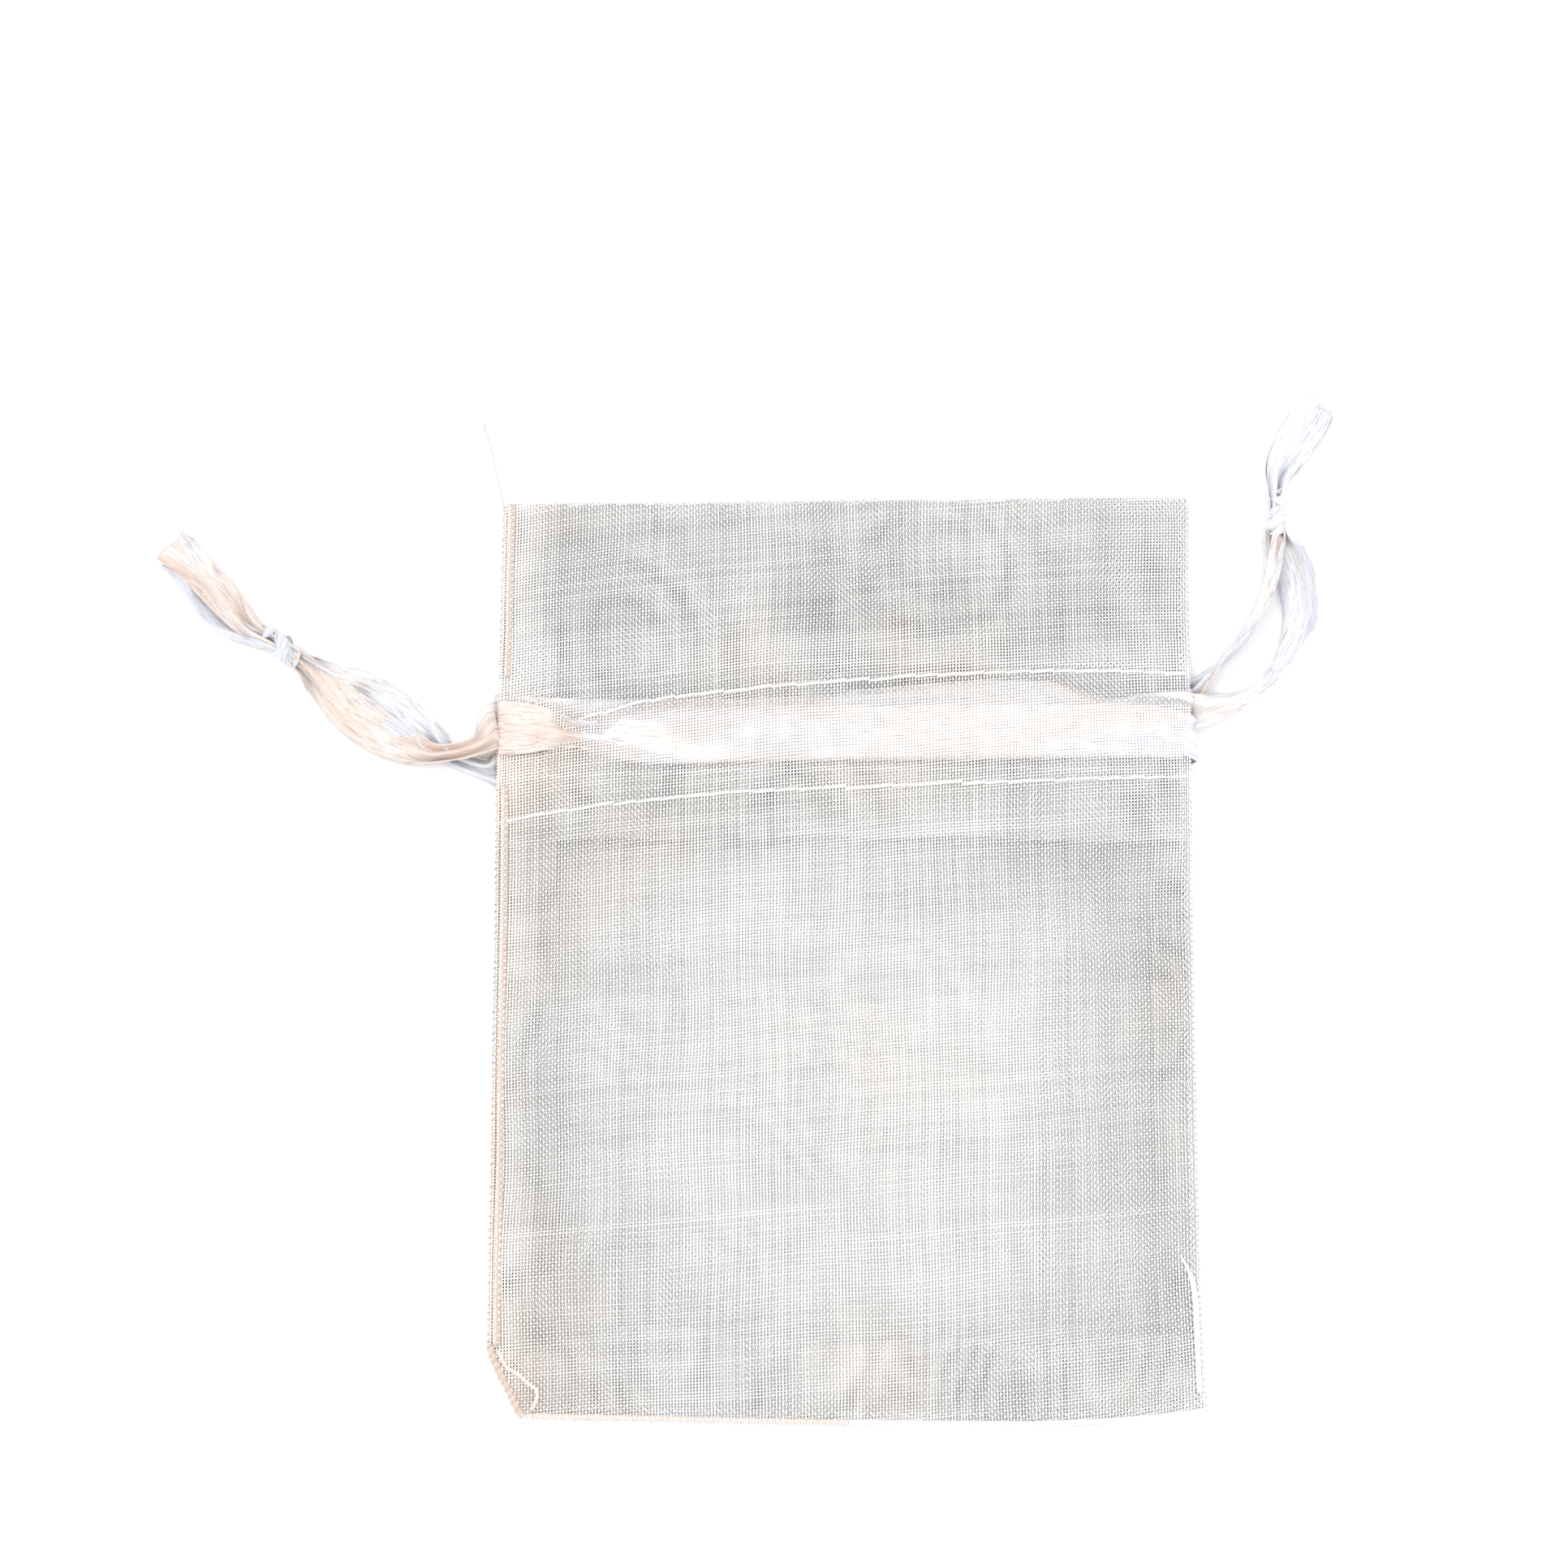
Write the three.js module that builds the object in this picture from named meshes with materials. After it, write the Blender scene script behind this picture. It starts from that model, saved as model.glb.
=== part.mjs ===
// Drawstring gift pouch in sheer white organza, lying flat and empty.
//
// Frame: millimetres, the back panel rests on z = 0, +Y points to the mouth,
// +X to the right as seen from above, origin under the middle of the pouch.
//
// The pouch is two panels sewn together at both sides and at the bottom, with a
// deep hem turned down inside the mouth. Two rows of stitching through panel and
// hem make a channel all round. Two ribbons run in it: each goes in and comes out
// at one side, wraps round the opposite side seam, and has both ends knotted
// together outside.

import * as THREE from "three";

// ---- driving dimensions -------------------------------------------------------
const POUCH_WIDTH = 76;
const POUCH_HEIGHT = 100;
const CLOTH = 0.3; // thickness of one layer of cloth
const GAP = 0.3; // clearance between neighbouring layers
const RIBBON_THICK = 0.35;
const RIBBON_WIDTH = 5.5;
const PUFF = 5.2; // how far the front layers rise over the middle of the pouch
const HEM_EDGE_Y = 11.2; // lower, free edge of the hem turned down inside the mouth
const STITCH_LOW_Y = 17.2;
const STITCH_HIGH_Y = 29.6;
const STITCH_WIDTH = 0.3;
const SEAM_WIDTH = 0.7;
const LEFT_ALLOWANCE = 6.0;
const RIGHT_ALLOWANCE = 3.2;
const BOTTOM_ALLOWANCE = 7.6;
const CORNER_X = 3.4; // the lower left corner is folded in by this much
const CORNER_Y = 7.2;
const STRAND_WIDTH = 5.0;
const STRAND_THICK = 0.5;
const ARCH_STEPS = 20;

const HALF_W = POUCH_WIDTH / 2;
const HALF_H = POUCH_HEIGHT / 2;
const PANEL_X = HALF_W - SEAM_WIDTH - GAP; // side edge of a panel
const PANEL_BOTTOM_Y = -HALF_H + 0.9;

// heights of the layers at the side seams, from the table up
const BACK_RIBBON_Z = CLOTH + GAP;
const BACK_HEM_Z = BACK_RIBBON_Z + RIBBON_THICK + GAP;
const FRONT_HEM_Z = BACK_HEM_Z + CLOTH + GAP;
const FRONT_RIBBON_Z = FRONT_HEM_Z + CLOTH + GAP;
const FRONT_PANEL_Z = FRONT_RIBBON_Z + RIBBON_THICK + GAP;

const LEFT_RIBBON_Y = [STITCH_LOW_Y + 0.6, STITCH_LOW_Y + 0.6 + RIBBON_WIDTH];
const RIGHT_RIBBON_Y = [LEFT_RIBBON_Y[1] + 0.4, LEFT_RIBBON_Y[1] + 0.4 + RIBBON_WIDTH];

// ---- the pouch's puffed shape -------------------------------------------------
const clamp01 = (t) => Math.min(1, Math.max(0, t));
const smooth = (a, b, t) => {
  const u = clamp01((t - a) / (b - a));
  return u * u * (3 - 2 * u);
};
const archAcross = (x) => Math.pow(Math.cos((Math.PI / 2) * clamp01(Math.abs(x) / (PANEL_X + 0.6))), 0.75);
const archAlong = (y) => Math.sin((Math.PI / 2) * smooth(-HALF_H - 6, -26, y));
const rise = (x, y) => PUFF * archAcross(x) * archAlong(y);
const seamDrop = (y) => (FRONT_PANEL_Z - 1.5) * (1 - smooth(-14, 9, y)); // fewer layers below the hem
const leftEdge = (y) => -PANEL_X + CORNER_X * clamp01((-HALF_H + CORNER_Y - y) / CORNER_Y);

// ---- builders -------------------------------------------------------------------
const white = (hex, roughness, metalness = 0) => new THREE.MeshStandardMaterial({ color: hex, roughness, metalness });
const ORGANZA = () => white(0xe9eaea, 0.55);
const HEM_CLOTH = () => white(0xdfe0e0, 0.55);
const SATIN = () => white(0xfbfafa, 0.35);
const THREAD = () => white(0xf6f4f1, 0.6);
const SEAM_THREAD = () => white(0xe3d6cb, 0.65);

const group = new THREE.Group();
function add(name, geometry, material) {
  const mesh = new THREE.Mesh(geometry, material);
  mesh.name = name;
  group.add(mesh);
  return mesh;
}

// a layer of cloth: a thin closed slab whose two faces follow height functions
function layer({ x0, x1, y0, y1, nx, ny, bottom, top }) {
  const g = new THREE.BoxGeometry(1, 1, 1, nx, ny, 1);
  const p = g.attributes.position;
  for (let i = 0; i < p.count; i++) {
    const y = y0 + (y1 - y0) * (p.getY(i) + 0.5);
    const a = typeof x0 === "function" ? x0(y) : x0;
    const x = a + (x1 - a) * (p.getX(i) + 0.5);
    p.setXYZ(i, x, y, p.getZ(i) < 0 ? bottom(x, y) : top(x, y));
  }
  g.computeVertexNormals();
  return g;
}

// an outline drawn in the (x, z) plane, extruded along y
function alongY(points, y0, y1) {
  const g = new THREE.ExtrudeGeometry(new THREE.Shape(points.map(([x, z]) => new THREE.Vector2(x, z))), {
    depth: y1 - y0,
    bevelEnabled: false,
  });
  const m = new THREE.Matrix4().makeBasis(
    new THREE.Vector3(1, 0, 0),
    new THREE.Vector3(0, 0, 1),
    new THREE.Vector3(0, -1, 0),
  );
  m.setPosition(0, y1, 0);
  return g.applyMatrix4(m);
}

// an outline drawn in the (y, z) plane, extruded along x
function alongX(points, x0, x1) {
  const g = new THREE.ExtrudeGeometry(new THREE.Shape(points.map(([y, z]) => new THREE.Vector2(y, z))), {
    depth: x1 - x0,
    bevelEnabled: false,
  });
  const m = new THREE.Matrix4().makeBasis(
    new THREE.Vector3(0, 1, 0),
    new THREE.Vector3(0, 0, 1),
    new THREE.Vector3(1, 0, 0),
  );
  m.setPosition(x0, 0, 0);
  return g.applyMatrix4(m);
}

// a flat ribbon or a thread along a free route; the section is thin along z
function strand(points, width, thick, steps) {
  const k = 0.3;
  const section = [
    [-thick / 2, -width / 2 + width * k * 0.5],
    [-thick / 4, -width / 2],
    [thick / 4, -width / 2],
    [thick / 2, -width / 2 + width * k * 0.5],
    [thick / 2, width / 2 - width * k * 0.5],
    [thick / 4, width / 2],
    [-thick / 4, width / 2],
    [-thick / 2, width / 2 - width * k * 0.5],
  ].map(([a, b]) => new THREE.Vector2(a, b));
  const path = new THREE.CatmullRomCurve3(points.map(([x, y, z]) => new THREE.Vector3(x, y, z)), false, "centripetal");
  path.computeFrenetFrames = (segments) => {
    const frames = { tangents: [], normals: [], binormals: [] };
    for (let i = 0; i <= segments; i++) {
      const t = path.getTangentAt(i / segments);
      const across = new THREE.Vector3().crossVectors(t, new THREE.Vector3(0, 0, 1)).normalize();
      frames.tangents.push(t);
      frames.normals.push(new THREE.Vector3().crossVectors(across, t).normalize());
      frames.binormals.push(across);
    }
    return frames;
  };
  return new THREE.ExtrudeGeometry(new THREE.Shape(section), { steps, extrudePath: path, bevelEnabled: false });
}

// ---- panels -----------------------------------------------------------------------
add(
  "back_panel",
  layer({ x0: leftEdge, x1: PANEL_X, y0: PANEL_BOTTOM_Y, y1: HALF_H, nx: 4, ny: 14, bottom: () => 0, top: () => CLOTH }),
  ORGANZA(),
);
const frontPanel = (x, y) => FRONT_PANEL_Z - seamDrop(y) + rise(x, y);
add(
  "front_panel",
  layer({
    x0: leftEdge,
    x1: PANEL_X,
    y0: PANEL_BOTTOM_Y,
    y1: HALF_H,
    nx: ARCH_STEPS,
    ny: 20,
    bottom: frontPanel,
    top: (x, y) => frontPanel(x, y) + CLOTH,
  }),
  ORGANZA(),
);

// ---- hem turned down inside the mouth, front and back ---------------------------------
add(
  "back_hem_facing",
  layer({
    x0: -PANEL_X,
    x1: PANEL_X,
    y0: HEM_EDGE_Y,
    y1: HALF_H,
    nx: 4,
    ny: 4,
    bottom: () => BACK_HEM_Z,
    top: () => BACK_HEM_Z + CLOTH,
  }),
  HEM_CLOTH(),
);
add(
  "front_hem_facing",
  layer({
    x0: -PANEL_X,
    x1: PANEL_X,
    y0: HEM_EDGE_Y,
    y1: HALF_H,
    nx: ARCH_STEPS,
    ny: 6,
    bottom: (x) => FRONT_HEM_Z + rise(x, HALF_H),
    top: (x) => FRONT_HEM_Z + CLOTH + rise(x, HALF_H),
  }),
  HEM_CLOTH(),
);

// ---- side seams: overlocked edges, narrowed to a bridge where the ribbons come out ------
function sideSeam(bottomY) {
  const top = (y) => FRONT_PANEL_Z - seamDrop(y) + CLOTH;
  const lower = [];
  for (let y = bottomY; y < STITCH_LOW_Y; y += 4) lower.push([y, top(y)]);
  lower.push([STITCH_LOW_Y + 0.2, FRONT_PANEL_Z + CLOTH]);
  const bridgeLow = BACK_HEM_Z;
  const bridgeHigh = FRONT_HEM_Z + CLOTH;
  return [
    [bottomY, 0],
    [STITCH_LOW_Y + 0.2, 0],
    [STITCH_LOW_Y + 0.2, bridgeLow],
    [STITCH_HIGH_Y, bridgeLow],
    [STITCH_HIGH_Y, 0],
    [HALF_H, 0],
    [HALF_H, FRONT_PANEL_Z + CLOTH],
    [STITCH_HIGH_Y, FRONT_PANEL_Z + CLOTH],
    [STITCH_HIGH_Y, bridgeHigh],
    [STITCH_LOW_Y + 0.2, bridgeHigh],
    ...lower.reverse(),
  ];
}
add("left_side_seam", alongX(sideSeam(-HALF_H + CORNER_Y + 0.5), -HALF_W, -HALF_W + SEAM_WIDTH), SEAM_THREAD());
add("right_side_seam", alongX(sideSeam(-HALF_H), HALF_W - SEAM_WIDTH, HALF_W), THREAD());

// ---- bottom seam, with the lower left corner folded in ------------------------------------
{
  const t = 0.6;
  const outline = [
    [HALF_W - SEAM_WIDTH - GAP, -HALF_H],
    [HALF_W - SEAM_WIDTH - GAP, -HALF_H + t],
    [-HALF_W + CORNER_X + 0.3, -HALF_H + t],
    [-HALF_W + t, -HALF_H + CORNER_Y + 0.1],
    [-HALF_W, -HALF_H + CORNER_Y + 0.1],
    [-HALF_W + CORNER_X, -HALF_H],
  ].reverse();
  const g = new THREE.ExtrudeGeometry(new THREE.Shape(outline.map(([x, y]) => new THREE.Vector2(x, y))), {
    depth: 1.7,
    bevelEnabled: false,
  });
  add("bottom_seam", g, THREAD());
}

// ---- seam allowances pressed flat inside, on the back panel ---------------------------------
const allowance = (x0, x1, y0, y1, nx, ny) =>
  layer({ x0, x1, y0, y1, nx, ny, bottom: () => CLOTH + GAP, top: () => 2 * CLOTH + GAP });
const bottomBandTop = PANEL_BOTTOM_Y + BOTTOM_ALLOWANCE;
add(
  "left_seam_allowance",
  allowance(-PANEL_X + 0.3, -PANEL_X + LEFT_ALLOWANCE, bottomBandTop + GAP, HEM_EDGE_Y - GAP, 1, 4),
  HEM_CLOTH(),
);
add(
  "right_seam_allowance",
  allowance(PANEL_X - RIGHT_ALLOWANCE, PANEL_X - 0.3, bottomBandTop + GAP, HEM_EDGE_Y - GAP, 1, 4),
  HEM_CLOTH(),
);
add(
  "bottom_seam_allowance",
  allowance((y) => leftEdge(y) + 0.8, PANEL_X - 0.6, PANEL_BOTTOM_Y + 0.4, bottomBandTop, 6, 2),
  HEM_CLOTH(),
);

// ---- the two rows of stitching that make the channel, front and back ---------------------------
for (const [row, y] of [
  ["upper", STITCH_HIGH_Y],
  ["lower", STITCH_LOW_Y],
]) {
  const y0 = y - STITCH_WIDTH / 2;
  const y1 = y + STITCH_WIDTH / 2;
  add(
    `front_${row}_stitching`,
    layer({
      x0: -PANEL_X,
      x1: PANEL_X,
      y0,
      y1,
      nx: ARCH_STEPS,
      ny: 1,
      bottom: (x) => FRONT_RIBBON_Z + rise(x, HALF_H),
      top: (x) => FRONT_RIBBON_Z + RIBBON_THICK + rise(x, HALF_H),
    }),
    THREAD(),
  );
  add(
    `back_${row}_stitching`,
    layer({
      x0: -PANEL_X,
      x1: PANEL_X,
      y0,
      y1,
      nx: 1,
      ny: 1,
      bottom: () => BACK_RIBBON_Z,
      top: () => BACK_RIBBON_Z + RIBBON_THICK,
    }),
    THREAD(),
  );
}

// ---- loose end of the overlock thread at the upper left corner ------------------------------------
add(
  "seam_thread_end",
  strand(
    [
      [-38.3, 50.4, 0.5],
      [-38.7, 53.0, 0.5],
      [-39.6, 56.0, 0.5],
      [-40.1, 58.7, 0.5],
    ],
    0.4,
    0.4,
    6,
  ),
  SEAM_THREAD(),
);

// ---- ribbon loops: front run, closed end round the far seam, back run --------------------------------
// side is -1 for the ribbon whose ends come out at the left, +1 for the right
function ribbonLoop(side) {
  const end = HALF_W + 0.05; // where the loop meets its free ends
  const turn = HALF_W + 0.45; // inner face of the closed end
  const xs = [];
  for (let i = 0; i <= ARCH_STEPS; i++) xs.push(-PANEL_X + (2 * PANEL_X * i) / ARCH_STEPS);
  const under = [[-end, 0], ...xs.map((x) => [x, rise(x, HALF_H)]), [turn, 0]];
  const over = [[-end, 0], ...xs.map((x) => [x, rise(x, HALF_H)]), [turn + RIBBON_THICK, 0]];
  const points = [
    // outer face: from the front end over the arch, round the seam, back along the table
    ...over.map(([x, z]) => [x, FRONT_RIBBON_Z + RIBBON_THICK + z]),
    [turn + RIBBON_THICK, BACK_RIBBON_Z],
    [-end, BACK_RIBBON_Z],
    [-end, BACK_RIBBON_Z + RIBBON_THICK],
    [turn, BACK_RIBBON_Z + RIBBON_THICK],
    ...under.map(([x, z]) => [x, FRONT_RIBBON_Z + z]).reverse(),
  ];
  return side < 0 ? points.reverse() : points.map(([x, z]) => [-x, z]);
}
add("left_ribbon_loop", alongY(ribbonLoop(-1), ...LEFT_RIBBON_Y), SATIN());
add("right_ribbon_loop", alongY(ribbonLoop(1), ...RIGHT_RIBBON_Y), SATIN());

// ---- free ends of the ribbons, lying on the table -----------------------------------------------------
const LEFT_Y = (LEFT_RIBBON_Y[0] + LEFT_RIBBON_Y[1]) / 2;
const RIGHT_Y = (RIGHT_RIBBON_Y[0] + RIGHT_RIBBON_Y[1]) / 2;
const FRONT_EXIT_Z = FRONT_RIBBON_Z + RIBBON_THICK / 2;
const BACK_EXIT_Z = BACK_RIBBON_Z + RIBBON_THICK / 2;

add(
  "left_ribbon_front_strand",
  strand(
    [
      [-38.4, LEFT_Y, FRONT_EXIT_Z],
      [-40.6, LEFT_Y + 0.1, 2.3],
      [-43.6, 21.5, 1.65],
      [-47.0, 23.3, 1.5],
      [-50.6, 25.6, 1.5],
      [-54.2, 28.0, 1.5],
      [-57.4, 30.1, 1.5],
      [-59.5, 31.5, 1.6],
    ],
    STRAND_WIDTH,
    STRAND_THICK,
    14,
  ),
  SATIN(),
);
add(
  "left_ribbon_back_strand",
  strand(
    [
      [-38.4, LEFT_Y, BACK_EXIT_Z],
      [-40.6, LEFT_Y - 0.1, 0.62],
      [-43.6, 21.0, 0.5],
      [-47.0, 22.7, 0.5],
      [-50.6, 25.1, 0.5],
      [-54.2, 27.6, 0.5],
      [-57.4, 29.9, 0.55],
      [-59.5, 31.4, 0.7],
    ],
    STRAND_WIDTH,
    STRAND_THICK,
    14,
  ),
  SATIN(),
);
add(
  "right_ribbon_front_strand",
  strand(
    [
      [38.4, RIGHT_Y, FRONT_EXIT_Z],
      [40.8, 26.6, 2.3],
      [43.8, 27.2, 1.75],
      [46.6, 28.8, 1.5],
      [48.5, 31.2, 1.5],
      [49.9, 34.2, 1.5],
      [50.3, 37.2, 1.5],
      [50.1, 40.4, 1.5],
      [49.5, 43.4, 1.5],
      [48.7, 45.8, 1.6],
    ],
    STRAND_WIDTH,
    STRAND_THICK,
    16,
  ),
  SATIN(),
);
add(
  "right_ribbon_back_strand",
  strand(
    [
      [38.5, RIGHT_Y + 0.6, BACK_EXIT_Z],
      [39.8, 27.3, 0.66],
      [42.0, 30.2, 0.5],
      [44.6, 34.0, 0.5],
      [46.1, 37.0, 0.5],
      [47.2, 40.2, 0.5],
      [47.9, 43.2, 0.55],
      [48.3, 45.8, 0.7],
    ],
    3.0,
    STRAND_THICK,
    13,
  ),
  SATIN(),
);

// ---- knots: both ends of a ribbon tied together in one overhand knot -------------------------------------
function knot(cx, cy, angle, length, radius) {
  const profile = [
    [0, -length / 2],
    [radius * 0.62, -length / 2],
    [radius * 0.95, -length * 0.28],
    [radius, 0],
    [radius * 0.95, length * 0.28],
    [radius * 0.62, length / 2],
    [0, length / 2],
  ].map(([r, h]) => new THREE.Vector2(r, h));
  const g = new THREE.LatheGeometry(profile, 14);
  g.rotateZ(-Math.PI / 2); // the knot's length along x
  g.scale(1, 1, 0.86);
  g.rotateZ(angle);
  g.translate(cx, cy, radius * 0.86);
  return g;
}
add("left_knot", knot(-62.2, 33.2, Math.atan2(2.0, -4.2), 4.6, 1.85), SATIN());
add("right_knot", knot(48.4, 48.2, Math.PI / 2, 4.0, 1.8), SATIN());

// ---- tails: the two cut ends beyond each knot --------------------------------------------------------------
const leftTail = (z) =>
  strand(
    [
      [-64.9, 34.6, z + 0.15],
      [-67.4, 36.6, z],
      [-69.7, 39.3, z],
      [-72.1, 41.8, z],
      [-74.8, 44.5, z],
    ],
    4.2,
    STRAND_THICK,
    7,
  );
add("left_tail_front", leftTail(1.5), SATIN());
add("left_tail_back", leftTail(0.5), SATIN());
const rightTail = (z) =>
  strand(
    [
      [48.4, 50.6, z + 0.15],
      [48.5, 52.6, z],
      [49.4, 55.0, z],
      [51.4, 57.9, z],
      [53.4, 61.0, z],
    ],
    3.6,
    STRAND_THICK,
    7,
  );
add("right_tail_front", rightTail(1.5), SATIN());
add("right_tail_back", rightTail(0.5), SATIN());

export default group;
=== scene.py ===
import math
import bpy
import numpy as np
from mathutils import Matrix, Vector


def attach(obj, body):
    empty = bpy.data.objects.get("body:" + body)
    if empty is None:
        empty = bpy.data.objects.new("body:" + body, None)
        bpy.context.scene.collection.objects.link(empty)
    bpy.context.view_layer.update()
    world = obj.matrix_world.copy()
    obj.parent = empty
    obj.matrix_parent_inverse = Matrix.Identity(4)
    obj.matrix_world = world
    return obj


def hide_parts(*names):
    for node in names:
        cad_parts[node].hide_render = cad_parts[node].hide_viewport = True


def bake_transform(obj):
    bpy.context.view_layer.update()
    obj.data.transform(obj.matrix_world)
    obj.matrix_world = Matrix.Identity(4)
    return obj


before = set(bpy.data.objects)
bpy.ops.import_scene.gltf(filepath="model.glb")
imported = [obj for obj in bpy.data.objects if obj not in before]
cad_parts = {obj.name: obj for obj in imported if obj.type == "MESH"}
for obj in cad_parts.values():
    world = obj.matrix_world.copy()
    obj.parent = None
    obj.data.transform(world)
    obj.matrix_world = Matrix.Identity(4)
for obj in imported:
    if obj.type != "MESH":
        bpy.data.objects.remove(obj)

scene = bpy.context.scene
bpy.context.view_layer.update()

# Every length below is in millimetres; meshes are scaled to metres when they are made.
MM = 0.001
RNG = np.random.default_rng(7)

HALF_W, HALF_H = 38.0, 50.0
PITCH = 0.335            # one thread of organza to the next
THREAD_A, THREAD_B = 0.061, 0.030   # half width and half height of one thread
HEM_Y = 11.2
PULL = 30.0              # travel of a drawstring

# =====================================================================================
# camera and stage
# =====================================================================================
def make_camera():
    dist, elev, roll = 300.0, math.radians(80.5), math.radians(-0.123)
    target = np.array([-6.71, 18.04, 0.0])
    back = np.array([0.0, -math.cos(elev), math.sin(elev)])
    right = np.array([1.0, 0.0, 0.0])
    up = np.cross(back, right)
    r = right * math.cos(roll) + up * math.sin(roll)
    u = -right * math.sin(roll) + up * math.cos(roll)
    c = target + back * dist
    data = bpy.data.cameras.new("camera")
    data.sensor_width = 36.0
    data.lens = 62.53
    data.clip_start, data.clip_end = 0.01, 10.0
    cam = bpy.data.objects.new("camera", data)
    scene.collection.objects.link(cam)
    m = Matrix(((r[0], u[0], back[0], c[0] * MM), (r[1], u[1], back[1], c[1] * MM), (r[2], u[2], back[2], c[2] * MM), (0, 0, 0, 1)))
    cam.matrix_world = m
    scene.camera = cam
    return cam


# =====================================================================================
# small mesh tools
# =====================================================================================
def smooth01(a, b, t):
    u = np.clip((np.asarray(t, float) - a) / (b - a), 0, 1)
    return u * u * (3 - 2 * u)


def make_mesh(name, verts, faces, uv=None, smooth=True, tri=False):
    """verts (N, 3) in mm, faces (M, 4) or (M, 3); uv (N, 2) is one value per vertex."""
    me = bpy.data.meshes.new(name)
    verts = np.asarray(verts, np.float64) * MM
    faces = np.asarray(faces, np.int32)
    k = faces.shape[1]
    me.vertices.add(len(verts))
    me.vertices.foreach_set("co", verts.astype(np.float32).ravel())
    me.loops.add(faces.size)
    me.loops.foreach_set("vertex_index", faces.ravel())
    me.polygons.add(len(faces))
    me.polygons.foreach_set("loop_start", np.arange(0, faces.size, k, dtype=np.int32))
    me.polygons.foreach_set("loop_total", np.full(len(faces), k, np.int32))
    me.polygons.foreach_set("use_smooth", np.full(len(faces), smooth))
    if uv is not None:
        layer = me.uv_layers.new(name="weave")
        layer.data.foreach_set("uv", np.asarray(uv, np.float32)[faces.ravel()].ravel())
    me.update(calc_edges=True)
    me.validate()
    ob = bpy.data.objects.new(name, me)
    scene.collection.objects.link(ob)
    return ob


class Soup:
    """Collects closed tubes and strips into one mesh."""

    def __init__(self):
        self.v, self.f, self.uv, self.n = [], [], [], 0

    def add(self, v, f, uv):
        v = np.asarray(v, float).reshape(-1, 3)
        self.v.append(v)
        self.f.append(np.asarray(f, np.int64).reshape(-1, 4) + self.n)
        self.uv.append(np.asarray(uv, float).reshape(-1, 2))
        self.n += len(v)

    def tubes(self, centre, side, up, uv):
        """Closed tubes. centre, side and up are (threads, rings, 3); the section has len(side-offsets) = 4 corners.
        side, up must be right-handed with the thread's direction: side x up = direction."""
        t, n, _ = centre.shape
        ring = np.stack([centre + side, centre + up, centre - side, centre - up], 2)  # (t, n, 4, 3)
        base = (np.arange(t) * n * 4)[:, None, None]
        i = (np.arange(n - 1) * 4)[None, :, None]
        k = np.arange(4)[None, None, :]
        k1 = (k + 1) % 4
        quads = np.stack([base + i + k, base + i + k1, base + i + 4 + k1, base + i + 4 + k], -1).reshape(-1, 4)
        b = (np.arange(t) * n * 4)[:, None]
        start = b + np.array([3, 2, 1, 0])[None]
        end = b + (n - 1) * 4 + np.array([0, 1, 2, 3])[None]
        self.add(ring, np.concatenate([quads, start, end]), np.repeat(uv[:, :, None, :], 4, 2))

    def tube(self, path, radius, sides=6, v0=0.0, u=0.0, up=(0, 0, 1)):
        """One closed round tube along path (n, 3); radius is a number or one per ring."""
        p = np.asarray(path, float)
        n = len(p)
        t = np.gradient(p, axis=0)
        t /= np.linalg.norm(t, axis=1)[:, None] + 1e-12
        s = np.cross(t, np.array(up, float))
        bad = np.linalg.norm(s, axis=1) < 1e-3
        s[bad] = np.cross(t[bad], np.array([1.0, 0.0, 0.0]))
        s /= np.linalg.norm(s, axis=1)[:, None]
        w = np.cross(s, t)
        a = np.linspace(0, 2 * np.pi, sides, endpoint=False)
        r = np.broadcast_to(np.asarray(radius, float), (n,))[:, None, None]
        # s x w = direction reversed, so go round the other way
        ring = p[:, None] + r * (np.cos(a)[None, :, None] * w[:, None] + np.sin(a)[None, :, None] * s[:, None])
        idx = np.arange(n * sides).reshape(n, sides)
        q = np.stack([idx[:-1], np.roll(idx, -1, 1)[:-1], np.roll(idx, -1, 1)[1:], idx[1:]], -1).reshape(-1, 4)
        length = np.concatenate([[0], np.cumsum(np.linalg.norm(np.diff(p, axis=0), axis=1))])
        uv = np.stack([np.broadcast_to(u + a / (2 * np.pi), (n, sides)), np.broadcast_to((v0 + length)[:, None], (n, sides))], -1)
        self.add(ring, q, uv)
        # caps as fans of quads over a centre would need a centre point; a strip of quads closes an even ring
        base = self.n - n * sides
        caps = []
        for off, flip in ((base, True), (base + (n - 1) * sides, False)):
            for j in range((sides - 2) // 2):
                quad = [off + j, off + j + 1, off + sides - 2 - j, off + sides - 1 - j]
                caps.append(quad[::-1] if flip else quad)
        self.f.append(np.array(caps, np.int64))

    def object(self, name, smooth=True):
        return make_mesh(name, np.concatenate(self.v), np.concatenate(self.f), np.concatenate(self.uv), smooth)


def curve(points, step):
    """A smooth curve through control rows (any number of columns, the first three are x, y, z), sampled evenly along its length."""
    p = np.asarray(points, float)
    ext = np.vstack([2 * p[0] - p[1], p, 2 * p[-1] - p[-2]])
    out = []
    for i in range(1, len(ext) - 2):
        a, b, c, d = ext[i - 1], ext[i], ext[i + 1], ext[i + 2]
        t = np.linspace(0, 1, 24, endpoint=False)[:, None]
        out.append(0.5 * (2 * b + (c - a) * t + (2 * a - 5 * b + 4 * c - d) * t ** 2 + (3 * b - a - 3 * c + d) * t ** 3))
    out.append(p[-1:])
    q = np.vstack(out)
    s = np.concatenate([[0], np.cumsum(np.linalg.norm(np.diff(q[:, :3], axis=0), axis=1))])
    n = max(2, int(round(s[-1] / step)) + 1)
    at = np.linspace(0, s[-1], n)
    return np.stack([np.interp(at, s, q[:, j]) for j in range(q.shape[1])], 1), at


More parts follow.
